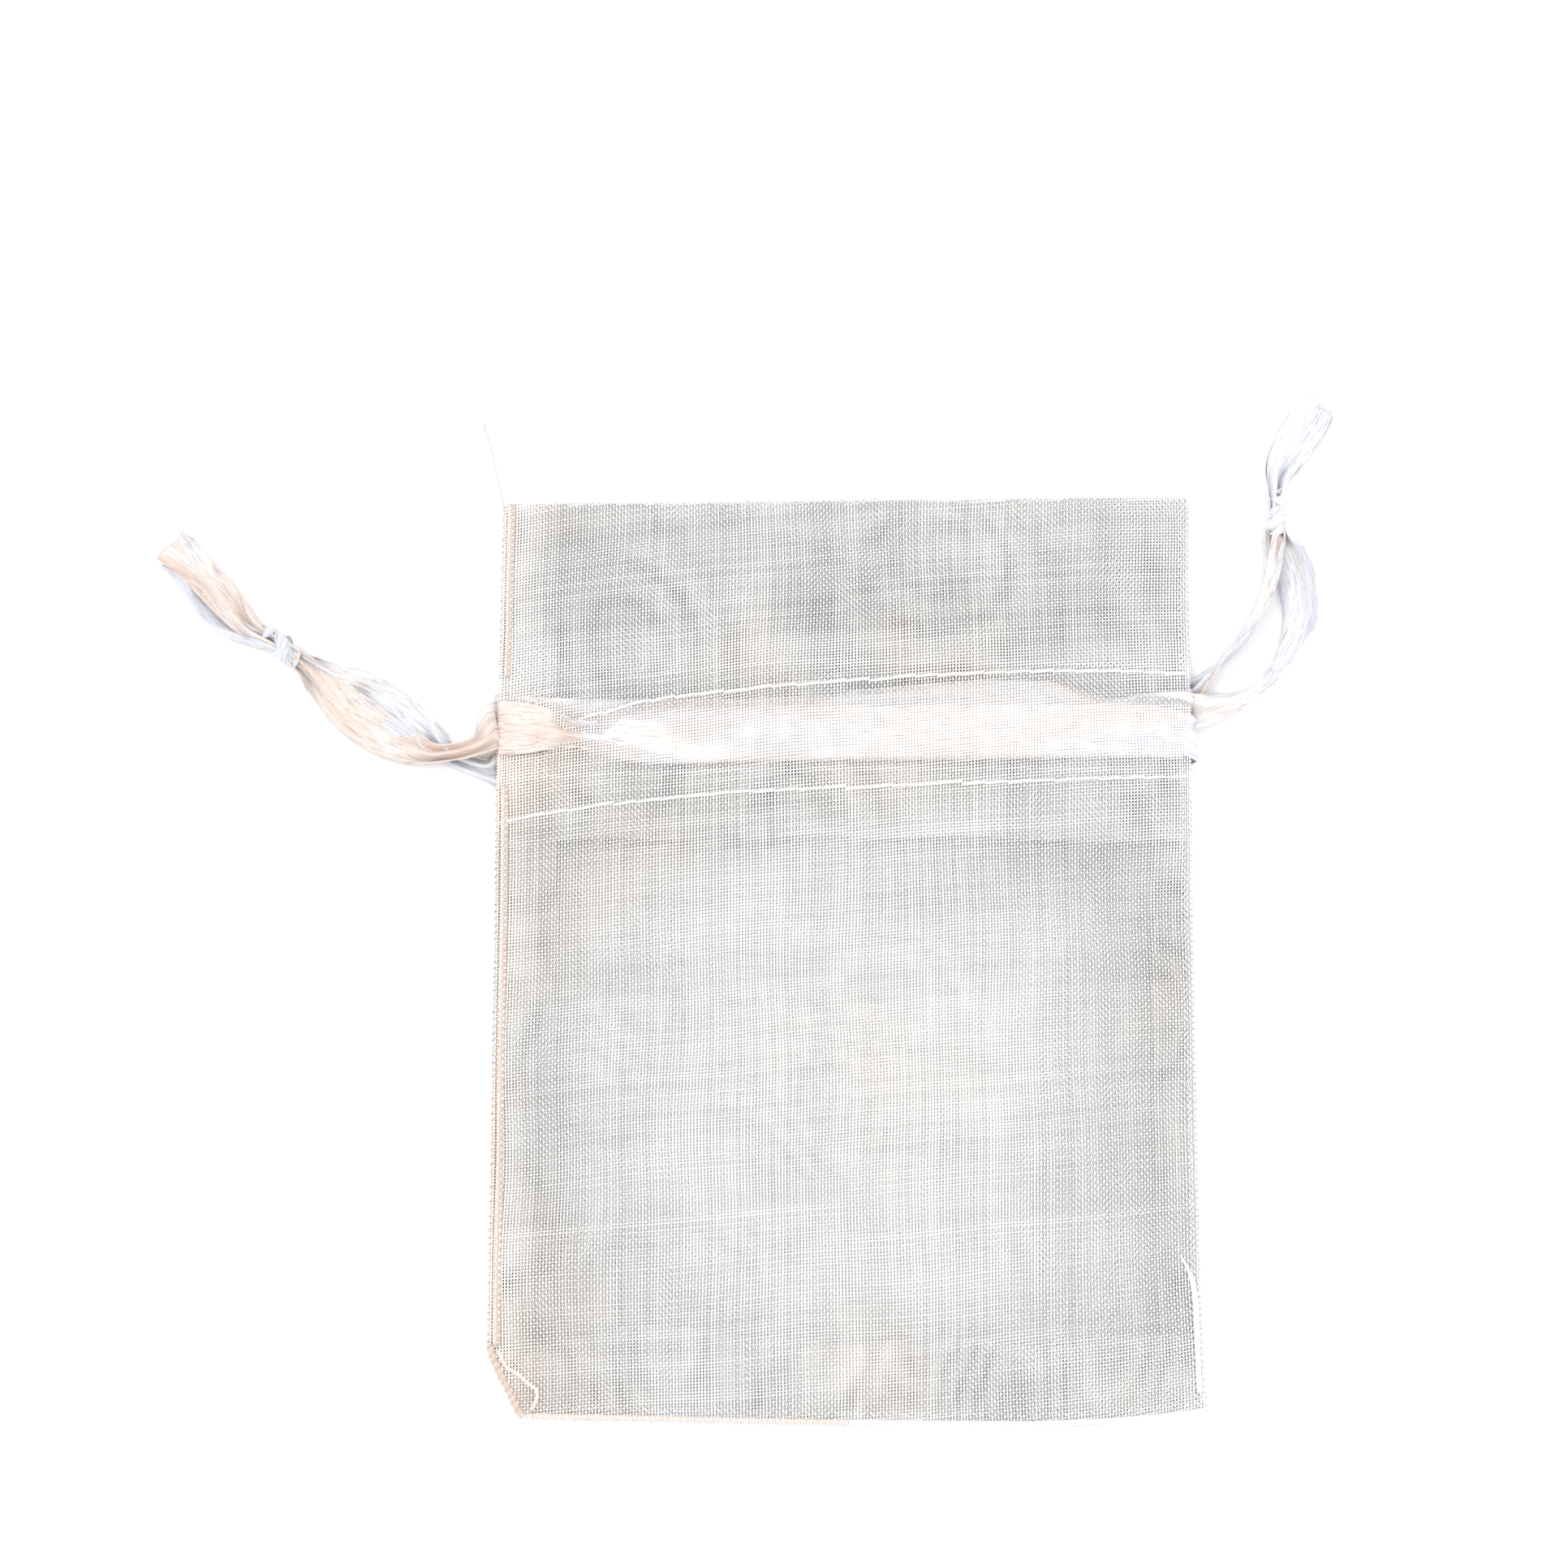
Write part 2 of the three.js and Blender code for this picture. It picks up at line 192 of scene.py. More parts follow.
# =====================================================================================
# the shape of the pouch
# =====================================================================================
def left_edge(y):
    return np.interp(y, [-43.0, -20.4, 18.5, 49.7], [-38.3, -38.25, -38.2, -37.9])


def right_edge(y):
    return np.interp(y, [-49.5, -38.0, -24.9, 14.7, 40.0, 50.2], [37.9, 37.5, 37.6, 37.9, 38.2, 38.5])


def chamfer(y):
    """x where the folded corner cuts the lower left."""
    return np.interp(y, [-49.9, -42.6], [-34.7, -38.4])


def mapped(x, y):
    """Nominal cloth coordinates to the lying outline."""
    e = np.where(x < 0, -left_edge(y), right_edge(y)) / HALF_W
    sag = np.interp(x, [-38.0, -34.8, -22.0, -8.0, 6.0, 19.2, 28.0, 34.0, 37.9], [0.1, 0.1, -0.15, -0.45, -0.72, -0.85, -0.55, -0.05, 0.45])
    yy = y + smooth01(20, 50, y) * (-0.28 + 0.0066 * (x + 38)) + smooth01(-25, -50, y) * sag
    return x * e, yy


def arch(x):
    return np.cos(np.pi / 2 * np.clip(np.abs(x) / 38.0, 0, 1)) ** 0.75


def lumps(x, y, seed, scale):
    """Soft irregular waves, about -1 to 1."""
    r = np.random.default_rng(int(seed))
    out = np.zeros(np.broadcast(x, y).shape)
    for _ in range(9):
        a, ph, k = r.uniform(0, 2 * np.pi), r.uniform(0, 2 * np.pi), r.uniform(0.7, 1.5) * 2 * np.pi / scale
        out = out + np.sin(k * (np.cos(a) * x + np.sin(a) * y) + ph)
    return out / 3.2


def edge_height(y):
    """Height of the front panel at the side seams."""
    return 0.95 + 0.65 * smooth01(2, 13, y) + 0.55 * smooth01(13.5, 18.5, y) * (1 - smooth01(29.5, 35, y))


def rise_along(y):
    body = 5.6 * np.sin(np.pi / 2 * smooth01(-56, -26, y))
    return body - 0.5 * smooth01(6, 18, y) - 0.9 * smooth01(36, 51, y)


def gather_amount(y):
    return np.exp(-((y - 23.5) / 11.0) ** 2)


def front_top(x, y):
    """Height of the front panel."""
    z = edge_height(y) + rise_along(y) * arch(x)
    inner = arch(x) * smooth01(-50, -38, y)
    z = z + inner * (0.42 * lumps(x, y, 11, 34) + 0.16 * lumps(x, y, 12, 13))
    ripple = np.sin(2 * np.pi * x / 4.7 + 1.1 * lumps(x, y, 13, 30)) + 0.6 * np.sin(2 * np.pi * x / 7.9 + 1.0)
    return z + 0.10 * ripple * gather_amount(y) * smooth01(38, 33, np.abs(x))


def channel_gap(y):
    """How far the panel and the hem stand apart where the ribbons run between them."""
    return 0.26 + 0.62 * smooth01(15.5, 18.5, y) * (1 - smooth01(28.5, 31.0, y))


def front_hem(x, y):
    return front_top(x, y) - channel_gap(y)


def back_panel_z(x, y):
    return 0.10 + 0.05 * (1 + lumps(x, y, 21, 25)) * smooth01(38, 30, np.abs(x))


def back_hem(x, y):
    return back_panel_z(x, y) + 0.24 + 0.60 * smooth01(15.5, 18.5, y) * (1 - smooth01(28.5, 31.5, y))


# =====================================================================================
# how far the cloth would follow the two drawstrings
# =====================================================================================
def gather_weight(x, y):
    """0 where the cloth stays, 1 where it moves in by the drawstring's whole travel."""
    g = smooth01(-47, 19, y) ** 1.35 * (1 - 0.42 * smooth01(28, 50, y))
    return g * np.clip(np.abs(x) / 38.4, 0, 1)


def gathers(ob, side):
    """Bakes the transform and works out, for each vertex, how far it would be drawn in: the left half of the cloth by
    the right drawstring's closed end, and the right half by the left one's. The weights are not applied.
    """
    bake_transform(ob)
    co = np.empty(len(ob.data.vertices) * 3, np.float32)
    ob.data.vertices.foreach_get("co", co)
    co = co.reshape(-1, 3) / MM
    w = gather_weight(co[:, 0], co[:, 1])
    w = np.where(co[:, 0] * side > 0, w, 0)
    return ob


# =====================================================================================
# woven cloth
# =====================================================================================
def drift(seed, amount, scale=26.0):
    """Threads never run quite straight: a slow in-plane drift of a layer's threads."""
    def f(x, y):
        return amount * lumps(x, y, seed, scale), amount * lumps(x, y, seed + 1, scale)
    return f


WEFT = 2000.0            # added to a weft's u, so that the material can tell it from a warp


def corner_cut(x):
    """The lowest y at x where the lower left corner is folded in."""
    return np.interp(x, [-38.2, -34.5], [-42.9, -49.6], right=-99)


def woven(name, side, height, y_low, y_high, x_in=0.0, x_out=38.0, seed=1, amount=0.12, warp_seg=3.4, weft_seg=1.9,
          low=None, high=None, skew=0.0, pitch=PITCH, map_to=mapped, chamfered=True, a=THREAD_A, b=THREAD_B, into=None):
    """One half of a layer of plain-woven organza, as real threads: warps along y, and wefts along x just under them.
    low and high, functions of x, replace the straight lower and upper borders. skew is how much the wefts climb along x: the cloth
    was pulled askew when it was cut. into is a Soup to add to instead."""
    soup = Soup() if into is None else into
    d = drift(seed, amount)
    rng = np.random.default_rng(seed)

    def place(x, y, dz):
        dx, dy = d(x, y)
        inner = smooth01(38.2, 36.0, np.abs(x))
        xx, yy = x + dx * inner, y + dy * smooth01(50.0, 48.0, y)
        xx, yy = map_to(xx, yy)
        return np.stack([xx, yy, height(x, y) + dz], -1)

    lo_f = low if low is not None else (lambda x: np.full_like(x, y_low))
    hi_f = high if high is not None else (lambda x: np.full_like(x, y_high))
    # warps
    xs = np.arange(pitch / 2, 60, pitch)
    xs = xs[(xs > abs(x_in)) & (xs < abs(x_out))] * side
    lo, hi = lo_f(xs), hi_f(xs)
    if side < 0 and chamfered:
        lo = np.maximum(lo, corner_cut(xs))
    keep = hi - lo > 1.0
    xs, lo, hi = xs[keep], lo[keep], hi[keep]
    if len(xs):
        n = max(3, int(math.ceil((hi - lo).max() / warp_seg)) + 1)
        t = np.linspace(0, 1, n)[None]
        y = lo[:, None] + (hi - lo)[:, None] * t
        x = np.broadcast_to(xs[:, None], y.shape)
        c = place(x, y, b * 0.9)
        wa = (a * rng.uniform(0.86, 1.12, len(xs)))[:, None, None]
        sd = np.zeros_like(c); sd[..., 2] = b
        up = np.zeros_like(c); up[..., 0] = wa[..., 0]
        uv = np.stack([x / pitch, (y - skew * x) / pitch], -1)
        soup.tubes(c, sd, up, uv)
    # wefts
    reach = abs(skew) * 39.0
    ys = (np.arange(math.floor((y_low - reach) / pitch), math.ceil((y_high + reach) / pitch)) + 0.5) * pitch
    line = np.linspace(abs(x_in), abs(x_out), 320) * side
    lo, hi = lo_f(line), hi_f(line)
    if side < 0 and chamfered:
        lo = np.maximum(lo, corner_cut(line))
    pieces = []
    for yv in ys:
        on = yv + skew * line
        inside = (lo <= on) & (on <= hi)
        if inside.sum() < 12:
            continue
        edges = np.flatnonzero(np.diff(np.concatenate([[0], inside.astype(int), [0]])))
        for s, e in zip(edges[::2], edges[1::2]):
            if e - s >= 12:
                pieces.append((yv, line[s], line[e - 1]))
    ys = np.array([q[0] for q in pieces]); x0 = np.array([q[1] for q in pieces]); x1 = np.array([q[2] for q in pieces])
    if len(ys):
        n = max(3, int(math.ceil(np.abs(x1 - x0).max() / weft_seg)) + 1)
        t = np.linspace(0, 1, n)[None]
        x = x0[:, None] + (x1 - x0)[:, None] * t
        y = ys[:, None] + skew * x
        c = place(x, y, -b * 0.9)
        wa = (a * rng.uniform(0.86, 1.12, len(ys)))[:, None]
        sd = np.zeros_like(c); up = np.zeros_like(c)
        if side > 0:      # the thread runs along +x
            sd[..., 1] = wa; sd[..., 0] = -skew * wa; up[..., 2] = b
        else:             # along -x
            sd[..., 1] = -wa; sd[..., 0] = skew * wa; up[..., 2] = b
        uv = np.stack([x / pitch + WEFT, (y - skew * x) / pitch + 1.0], -1)
        soup.tubes(c, sd, up, uv)
    return soup.object(name, smooth=False) if into is None else None


def finish_cloth(ob, side, material, nodes):
    ob.data.materials.append(material)
    gathers(ob, side)
    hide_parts(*nodes)
    return ob


# =====================================================================================
# materials
# =====================================================================================
def new_material(name):
    m = bpy.data.materials.new(name)
    m.use_nodes = True
    nt = m.node_tree
    for n in list(nt.nodes):
        nt.nodes.remove(n)
    out = nt.nodes.new("ShaderNodeOutputMaterial")
    p = nt.nodes.new("ShaderNodeBsdfPrincipled")
    nt.links.new(p.outputs[0], out.inputs["Surface"])
    return m, nt, p


def rgb(h):
    """sRGB 0-255 to linear."""
    c = np.array(h, float) / 255
    c = np.where(c <= 0.04045, c / 12.92, ((c + 0.055) / 1.055) ** 2.4)
    return (*c, 1.0)


def node(nt, kind, **kw):
    n = nt.nodes.new(kind)
    for k, v in kw.items():
        setattr(n, k, v)
    return n


def mix_colour(nt, fac, a, b):
    n = node(nt, "ShaderNodeMix", data_type="RGBA")
    for socket, value in ((n.inputs["Factor"], fac), (n.inputs[6], a), (n.inputs[7], b)):
        if isinstance(value, bpy.types.NodeSocket):
            nt.links.new(value, socket)
        else:
            socket.default_value = value
    return n.outputs[2]


def maths(nt, op, a, b=None, c=None, clamp=False):
    n = node(nt, "ShaderNodeMath", operation=op, use_clamp=clamp)
    for i, v in enumerate((a, b, c)):
        if v is None:
            continue
        if isinstance(v, bpy.types.NodeSocket):
            nt.links.new(v, n.inputs[i])
        else:
            n.inputs[i].default_value = v
    return n.outputs[0]


def ramp(nt, fac, stops):
    n = node(nt, "ShaderNodeValToRGB")
    e = n.color_ramp.elements
    while len(e) < len(stops):
        e.new(0.5)
    for el, (pos, col) in zip(e, stops):
        el.position = pos
        el.color = col
    nt.links.new(fac, n.inputs[0])
    return n.outputs[0]


def noise(nt, vector, scale, detail=2.0, rough=0.5):
    n = node(nt, "ShaderNodeTexNoise")
    n.inputs["Scale"].default_value = scale
    n.inputs["Detail"].default_value = detail
    n.inputs["Roughness"].default_value = rough
    nt.links.new(vector, n.inputs["Vector"])
    return n.outputs["Fac"]


def organza(name, light, dark, warm=0.35, level=1.0, weft=0.27, outer=False):
    """Polyester organza: glossy see-through white threads, each a little different, with painted shade where a thread
    passes under another and on the wefts, which lie under the warps.
    outer is the front panel, which shows what lies just under it: its threads are painted lighter, or rosy, over
    allowances, stitches and ribbons, painted light for what shows through, and darker in one band near the bottom."""
    m, nt, p = new_material(name)
    geo = node(nt, "ShaderNodeNewGeometry")
    tex = node(nt, "ShaderNodeTexCoord")
    uv = node(nt, "ShaderNodeUVMap", uv_map="weave")
    sep = node(nt, "ShaderNodeSeparateXYZ")
    nt.links.new(uv.outputs["UV"], sep.inputs[0])
    pos = node(nt, "ShaderNodeSeparateXYZ")
    nt.links.new(tex.outputs["Object"], pos.inputs[0])
    px, py = pos.outputs["X"], pos.outputs["Y"]
    # plain weave: a thread is up and down by turns; where it is down, under the crossing thread, it is painted darker,
    # painted shade
    ij = maths(nt, "ADD", sep.outputs["X"], sep.outputs["Y"])
    over = maths(nt, "COSINE", maths(nt, "MULTIPLY", ij, math.pi))
    over = maths(nt, "MULTIPLY_ADD", over, 0.5, 0.5)
    is_weft = maths(nt, "GREATER_THAN", sep.outputs["X"], 1000.0)
    per = geo.outputs["Random Per Island"]
    cloud = noise(nt, tex.outputs["Object"], 75.0, 3.0, 0.6)
    cloud = maths(nt, "MULTIPLY_ADD", maths(nt, "SUBTRACT", cloud, 0.5), 2.2, 0.5, clamp=True)
    patch = noise(nt, tex.outputs["Object"], 120.0, 2.0, 0.5)
    patch = maths(nt, "MULTIPLY_ADD", maths(nt, "SUBTRACT", patch, 0.42), 4.0, 0.30, clamp=True)
    # how strong the painted under-shade is: varying at random, weaker in the centre of the body and stronger on the
    # right
    under_shade_depth = maths(nt, "MULTIPLY_ADD", patch, 0.62, 0.60)
    # painted light: a soft round patch over the centre of the body, which paints it lighter and weakens its painted
    # under-shade
    mid = node(nt, "ShaderNodeMapping")
    mid.inputs["Location"].default_value = (0.001 / 0.034, 0.016 / 0.042, 0.0)
    mid.inputs["Scale"].default_value = (1 / 0.034, 1 / 0.042, 0.0)
    nt.links.new(tex.outputs["Object"], mid.inputs["Vector"])
    ball = node(nt, "ShaderNodeTexGradient", gradient_type="SPHERICAL")
    nt.links.new(mid.outputs[0], ball.inputs[0])
    painted_middle_light = maths(nt, "MULTIPLY", ball.outputs["Fac"], 1.9, clamp=True)
    under_shade_depth = maths(nt, "MULTIPLY", under_shade_depth, maths(nt, "MULTIPLY_ADD", painted_middle_light, -0.42, 1.0))
    under_shade_depth = maths(nt, "MULTIPLY", under_shade_depth, maths(nt, "MULTIPLY_ADD", maths(nt, "MULTIPLY_ADD", px, 90.0, -1.6, clamp=True), 0.35, 1.0))
    f = maths(nt, "MULTIPLY", maths(nt, "SUBTRACT", over, 0.5), under_shade_depth)
    f = maths(nt, "ADD", maths(nt, "ADD", f, 0.60), maths(nt, "MULTIPLY_ADD", per, 0.40, -0.20))
    # painted shade: the wefts, which lie under the warps, are painted darker
    f = maths(nt, "SUBTRACT", f, maths(nt, "MULTIPLY", is_weft, weft))
    f = maths(nt, "ADD", f, maths(nt, "MULTIPLY_ADD", cloud, 0.26, -0.13))
    # painted light: the centre of the body, where the two panels stand apart, is painted lighter
    f = maths(nt, "ADD", f, maths(nt, "MULTIPLY", painted_middle_light, 0.19), clamp=True)
    # painted light: lighter over the left seam allowance, towards the left seam
    painted_left_seam_light = maths(nt, "MULTIPLY_ADD", px, -300.0, -9.9, clamp=True)
    f = maths(nt, "ADD", f, maths(nt, "MULTIPLY", painted_left_seam_light, 0.24), clamp=True)
    if outer:
        def within(value, low, high, soft):
            up = maths(nt, "MULTIPLY_ADD", value, 1 / soft, -low / soft, clamp=True)
            down = maths(nt, "MULTIPLY_ADD", value, -1 / soft, high / soft, clamp=True)
            return maths(nt, "MULTIPLY", up, down)
        # painted light: lighter over the seam allowance under the left side of the mouth
        flap = maths(nt, "MULTIPLY", within(px, -0.05, -0.0314, 0.0006), within(py, 0.0245, 0.06, 0.001))
        f = maths(nt, "ADD", f, maths(nt, "MULTIPLY", flap, 0.18), clamp=True)
        # painted light: lighter over the right seam allowance beside the mouth, the cloth drawn together at the
        # channel, and the allowance along the bottom; the last entry paints a band across the centre near the bottom
        # darker
        east = within(px, 0.0285, 0.0600, 0.0030)
        west = within(px, -0.060, -0.0220, 0.0080)
        right_half = maths(nt, "MULTIPLY_ADD", px, 28.0, 0.15, clamp=True)
        painted_light_and_shade = [(maths(nt, "MULTIPLY", east, within(py, 0.0270, 0.0600, 0.0010)), 0.27),
                   (maths(nt, "MULTIPLY", east, within(py, 0.0030, 0.0240, 0.0030)), 0.15),
                   (within(py, 0.0275, 0.0352, 0.0030), 0.17),
                   (maths(nt, "MULTIPLY", within(px, -0.0130, 0.0200, 0.0100), within(py, 0.0275, 0.0352, 0.0030)), 0.10),
                   (maths(nt, "MULTIPLY", within(px, -0.0330, -0.0030, 0.0050), within(py, -0.0020, 0.0110, 0.0040)), 0.10),
                   (maths(nt, "MULTIPLY", west, within(py, 0.0120, 0.0275, 0.0020)), 0.30),
                   (maths(nt, "MULTIPLY", right_half, within(py, 0.0105, 0.0240, 0.0012)), 0.15),
                   (maths(nt, "MULTIPLY", within(px, 0.0120, 0.0600, 0.0120), within(py, -0.0600, -0.0412, 0.0008)), 0.24),
                   (maths(nt, "MULTIPLY", within(px, -0.0330, -0.0110, 0.0050), within(py, -0.0600, -0.0430, 0.0010)), 0.17),
                   (maths(nt, "MULTIPLY", within(px, -0.0200, 0.0180, 0.0060), within(py, -0.0448, -0.0372, 0.0010)), -0.08)]
        # painted light: lighter lines over the two rows of stitches in the back panel
        for row in (maths(nt, "MINIMUM", maths(nt, "MULTIPLY_ADD", px, 0.010, 0.0302), maths(nt, "MULTIPLY_ADD", px, 0.110, 0.0314)),
                    maths(nt, "MULTIPLY_ADD", px, 0.008, 0.0185)):
            away = maths(nt, "ABSOLUTE", maths(nt, "SUBTRACT", py, row))
            painted_light_and_shade.append((maths(nt, "MULTIPLY", maths(nt, "SUBTRACT", 0.00026, away), 9000.0, clamp=True), 0.32))
        for patch_at, amount in painted_light_and_shade:
            f = maths(nt, "ADD", f, maths(nt, "MULTIPLY", patch_at, amount), clamp=True)
        # painted light: the threads that lie on the white ribbons are painted lighter, for the ribbons showing through:
        # the near one, and above it a strip of the other
        centre = maths(nt, "MULTIPLY_ADD", px, 0.019, 0.02265)
        half = maths(nt, "MINIMUM", maths(nt, "MULTIPLY_ADD", px, 0.26, 0.0089), 0.0031)
        off = maths(nt, "ABSOLUTE", maths(nt, "SUBTRACT", py, centre))
        band = maths(nt, "MULTIPLY", maths(nt, "SUBTRACT", half, off), 2600.0, clamp=True)
        band = maths(nt, "MULTIPLY", band, maths(nt, "MULTIPLY_ADD", px, 500.0, 14.75, clamp=True))
        d1 = maths(nt, "SUBTRACT", maths(nt, "MULTIPLY_ADD", px, 0.13, 0.02655), py)
        d2 = maths(nt, "SUBTRACT", 0.0286, py)
        d3 = maths(nt, "SUBTRACT", maths(nt, "MULTIPLY_ADD", px, -0.45, 0.0387), py)
        second = maths(nt, "MINIMUM", d1, maths(nt, "MINIMUM", d2, d3))
        second = maths(nt, "MULTIPLY", maths(nt, "MULTIPLY", second, 3000.0, clamp=True), within(py, 0.022, 0.04, 0.0004))
        f = maths(nt, "MAXIMUM", f, maths(nt, "MULTIPLY", second, 0.52))
        f = maths(nt, "MAXIMUM", f, maths(nt, "MULTIPLY", band, maths(nt, "MULTIPLY_ADD", px, 6.0, 0.90, clamp=True)))
    col = mix_colour(nt, f, dark, light)
    # a faint random drift of tint, warm and cool, as thin synthetic cloth shows; on top of it painted warm light
    # towards the left seam and painted cool light towards the right, each changed in the upper part
    tint = noise(nt, tex.outputs["Object"], 42.0, 2.5, 0.55)
    leftness = maths(nt, "MULTIPLY_ADD", px, -50.0, -1.0, clamp=True)
    rightness = maths(nt, "MULTIPLY_ADD", px, 28.0, 0.10, clamp=True)
    header = maths(nt, "MULTIPLY_ADD", py, 250.0, -6.5, clamp=True)
    tint = maths(nt, "ADD", tint, maths(nt, "MULTIPLY", leftness, maths(nt, "MULTIPLY_ADD", header, -0.14, 0.18)))
    tint = maths(nt, "SUBTRACT", tint, maths(nt, "MULTIPLY", rightness, maths(nt, "MULTIPLY_ADD", header, -0.17, 0.15)))
    if outer:        # the lower left corner, folded in, is painted rosy: painted warm shade
        painted_fold_shade = maths(nt, "MULTIPLY", maths(nt, "MULTIPLY_ADD", px, -900.0, -29.8, clamp=True), maths(nt, "MULTIPLY_ADD", py, -700.0, -30.5, clamp=True))
        tint = maths(nt, "MULTIPLY_ADD", painted_fold_shade, 0.24, tint)
    tinted = ramp(nt, tint, [(0.30, rgb((249, 251, 251))), (0.42, rgb((255, 255, 255))), (0.60, rgb((255, 250, 245))), (0.74, rgb((252, 236, 224)))])
    tinted = mix_colour(nt, warm, (1, 1, 1, 1), tinted)
    tinted = mix_colour(nt, 1.0 - level, tinted, (0, 0, 0, 1))
    mul = node(nt, "ShaderNodeMix", data_type="RGBA", blend_type="MULTIPLY")
    mul.inputs["Factor"].default_value = 1.0
    nt.links.new(col, mul.inputs[6]); nt.links.new(tinted, mul.inputs[7])
    shown = mul.outputs[2]
    if outer:        # painted rosy where the left part of the ribbon, itself painted with warm light, shows through
        rosy = maths(nt, "MULTIPLY", maths(nt, "MULTIPLY_ADD", px, -110.0, 0.25, clamp=True), band)
        shown = mix_colour(nt, maths(nt, "MULTIPLY", rosy, 0.85), shown, rgb((242, 235, 232)))
    nt.links.new(shown, p.inputs["Base Color"])
    nt.links.new(maths(nt, "MULTIPLY_ADD", over, -0.12, 0.50), p.inputs["Roughness"])
    p.inputs["Sheen Weight"].default_value = 0.12
    p.inputs["Sheen Roughness"].default_value = 0.4
    p.inputs["Specular IOR Level"].default_value = 0.5
    # twist of the filaments along each thread
    wave = node(nt, "ShaderNodeTexWave", wave_type="BANDS", bands_direction="DIAGONAL")
    wave.inputs["Scale"].default_value = 0.9
    wave.inputs["Distortion"].default_value = 1.0
    nt.links.new(uv.outputs["UV"], wave.inputs["Vector"])
    bump = node(nt, "ShaderNodeBump")
    bump.inputs["Strength"].default_value = 0.25
    bump.inputs["Distance"].default_value = 0.00002
    nt.links.new(wave.outputs["Fac"], bump.inputs["Height"])
    nt.links.new(bump.outputs["Normal"], p.inputs["Normal"])
    return m


def let_through(nt, p, colour, share):
    """Part of the light goes through the threads."""
    tr = nt.nodes.new("ShaderNodeBsdfTranslucent")
    if isinstance(colour, bpy.types.NodeSocket):
        nt.links.new(colour, tr.inputs["Color"])
    else:
        tr.inputs["Color"].default_value = colour
    mix = nt.nodes.new("ShaderNodeMixShader")
    mix.inputs[0].default_value = share
    out = next(n for n in nt.nodes if n.type == "OUTPUT_MATERIAL")
    nt.links.new(p.outputs[0], mix.inputs[1])
    nt.links.new(tr.outputs[0], mix.inputs[2])
    nt.links.new(mix.outputs[0], out.inputs["Surface"])


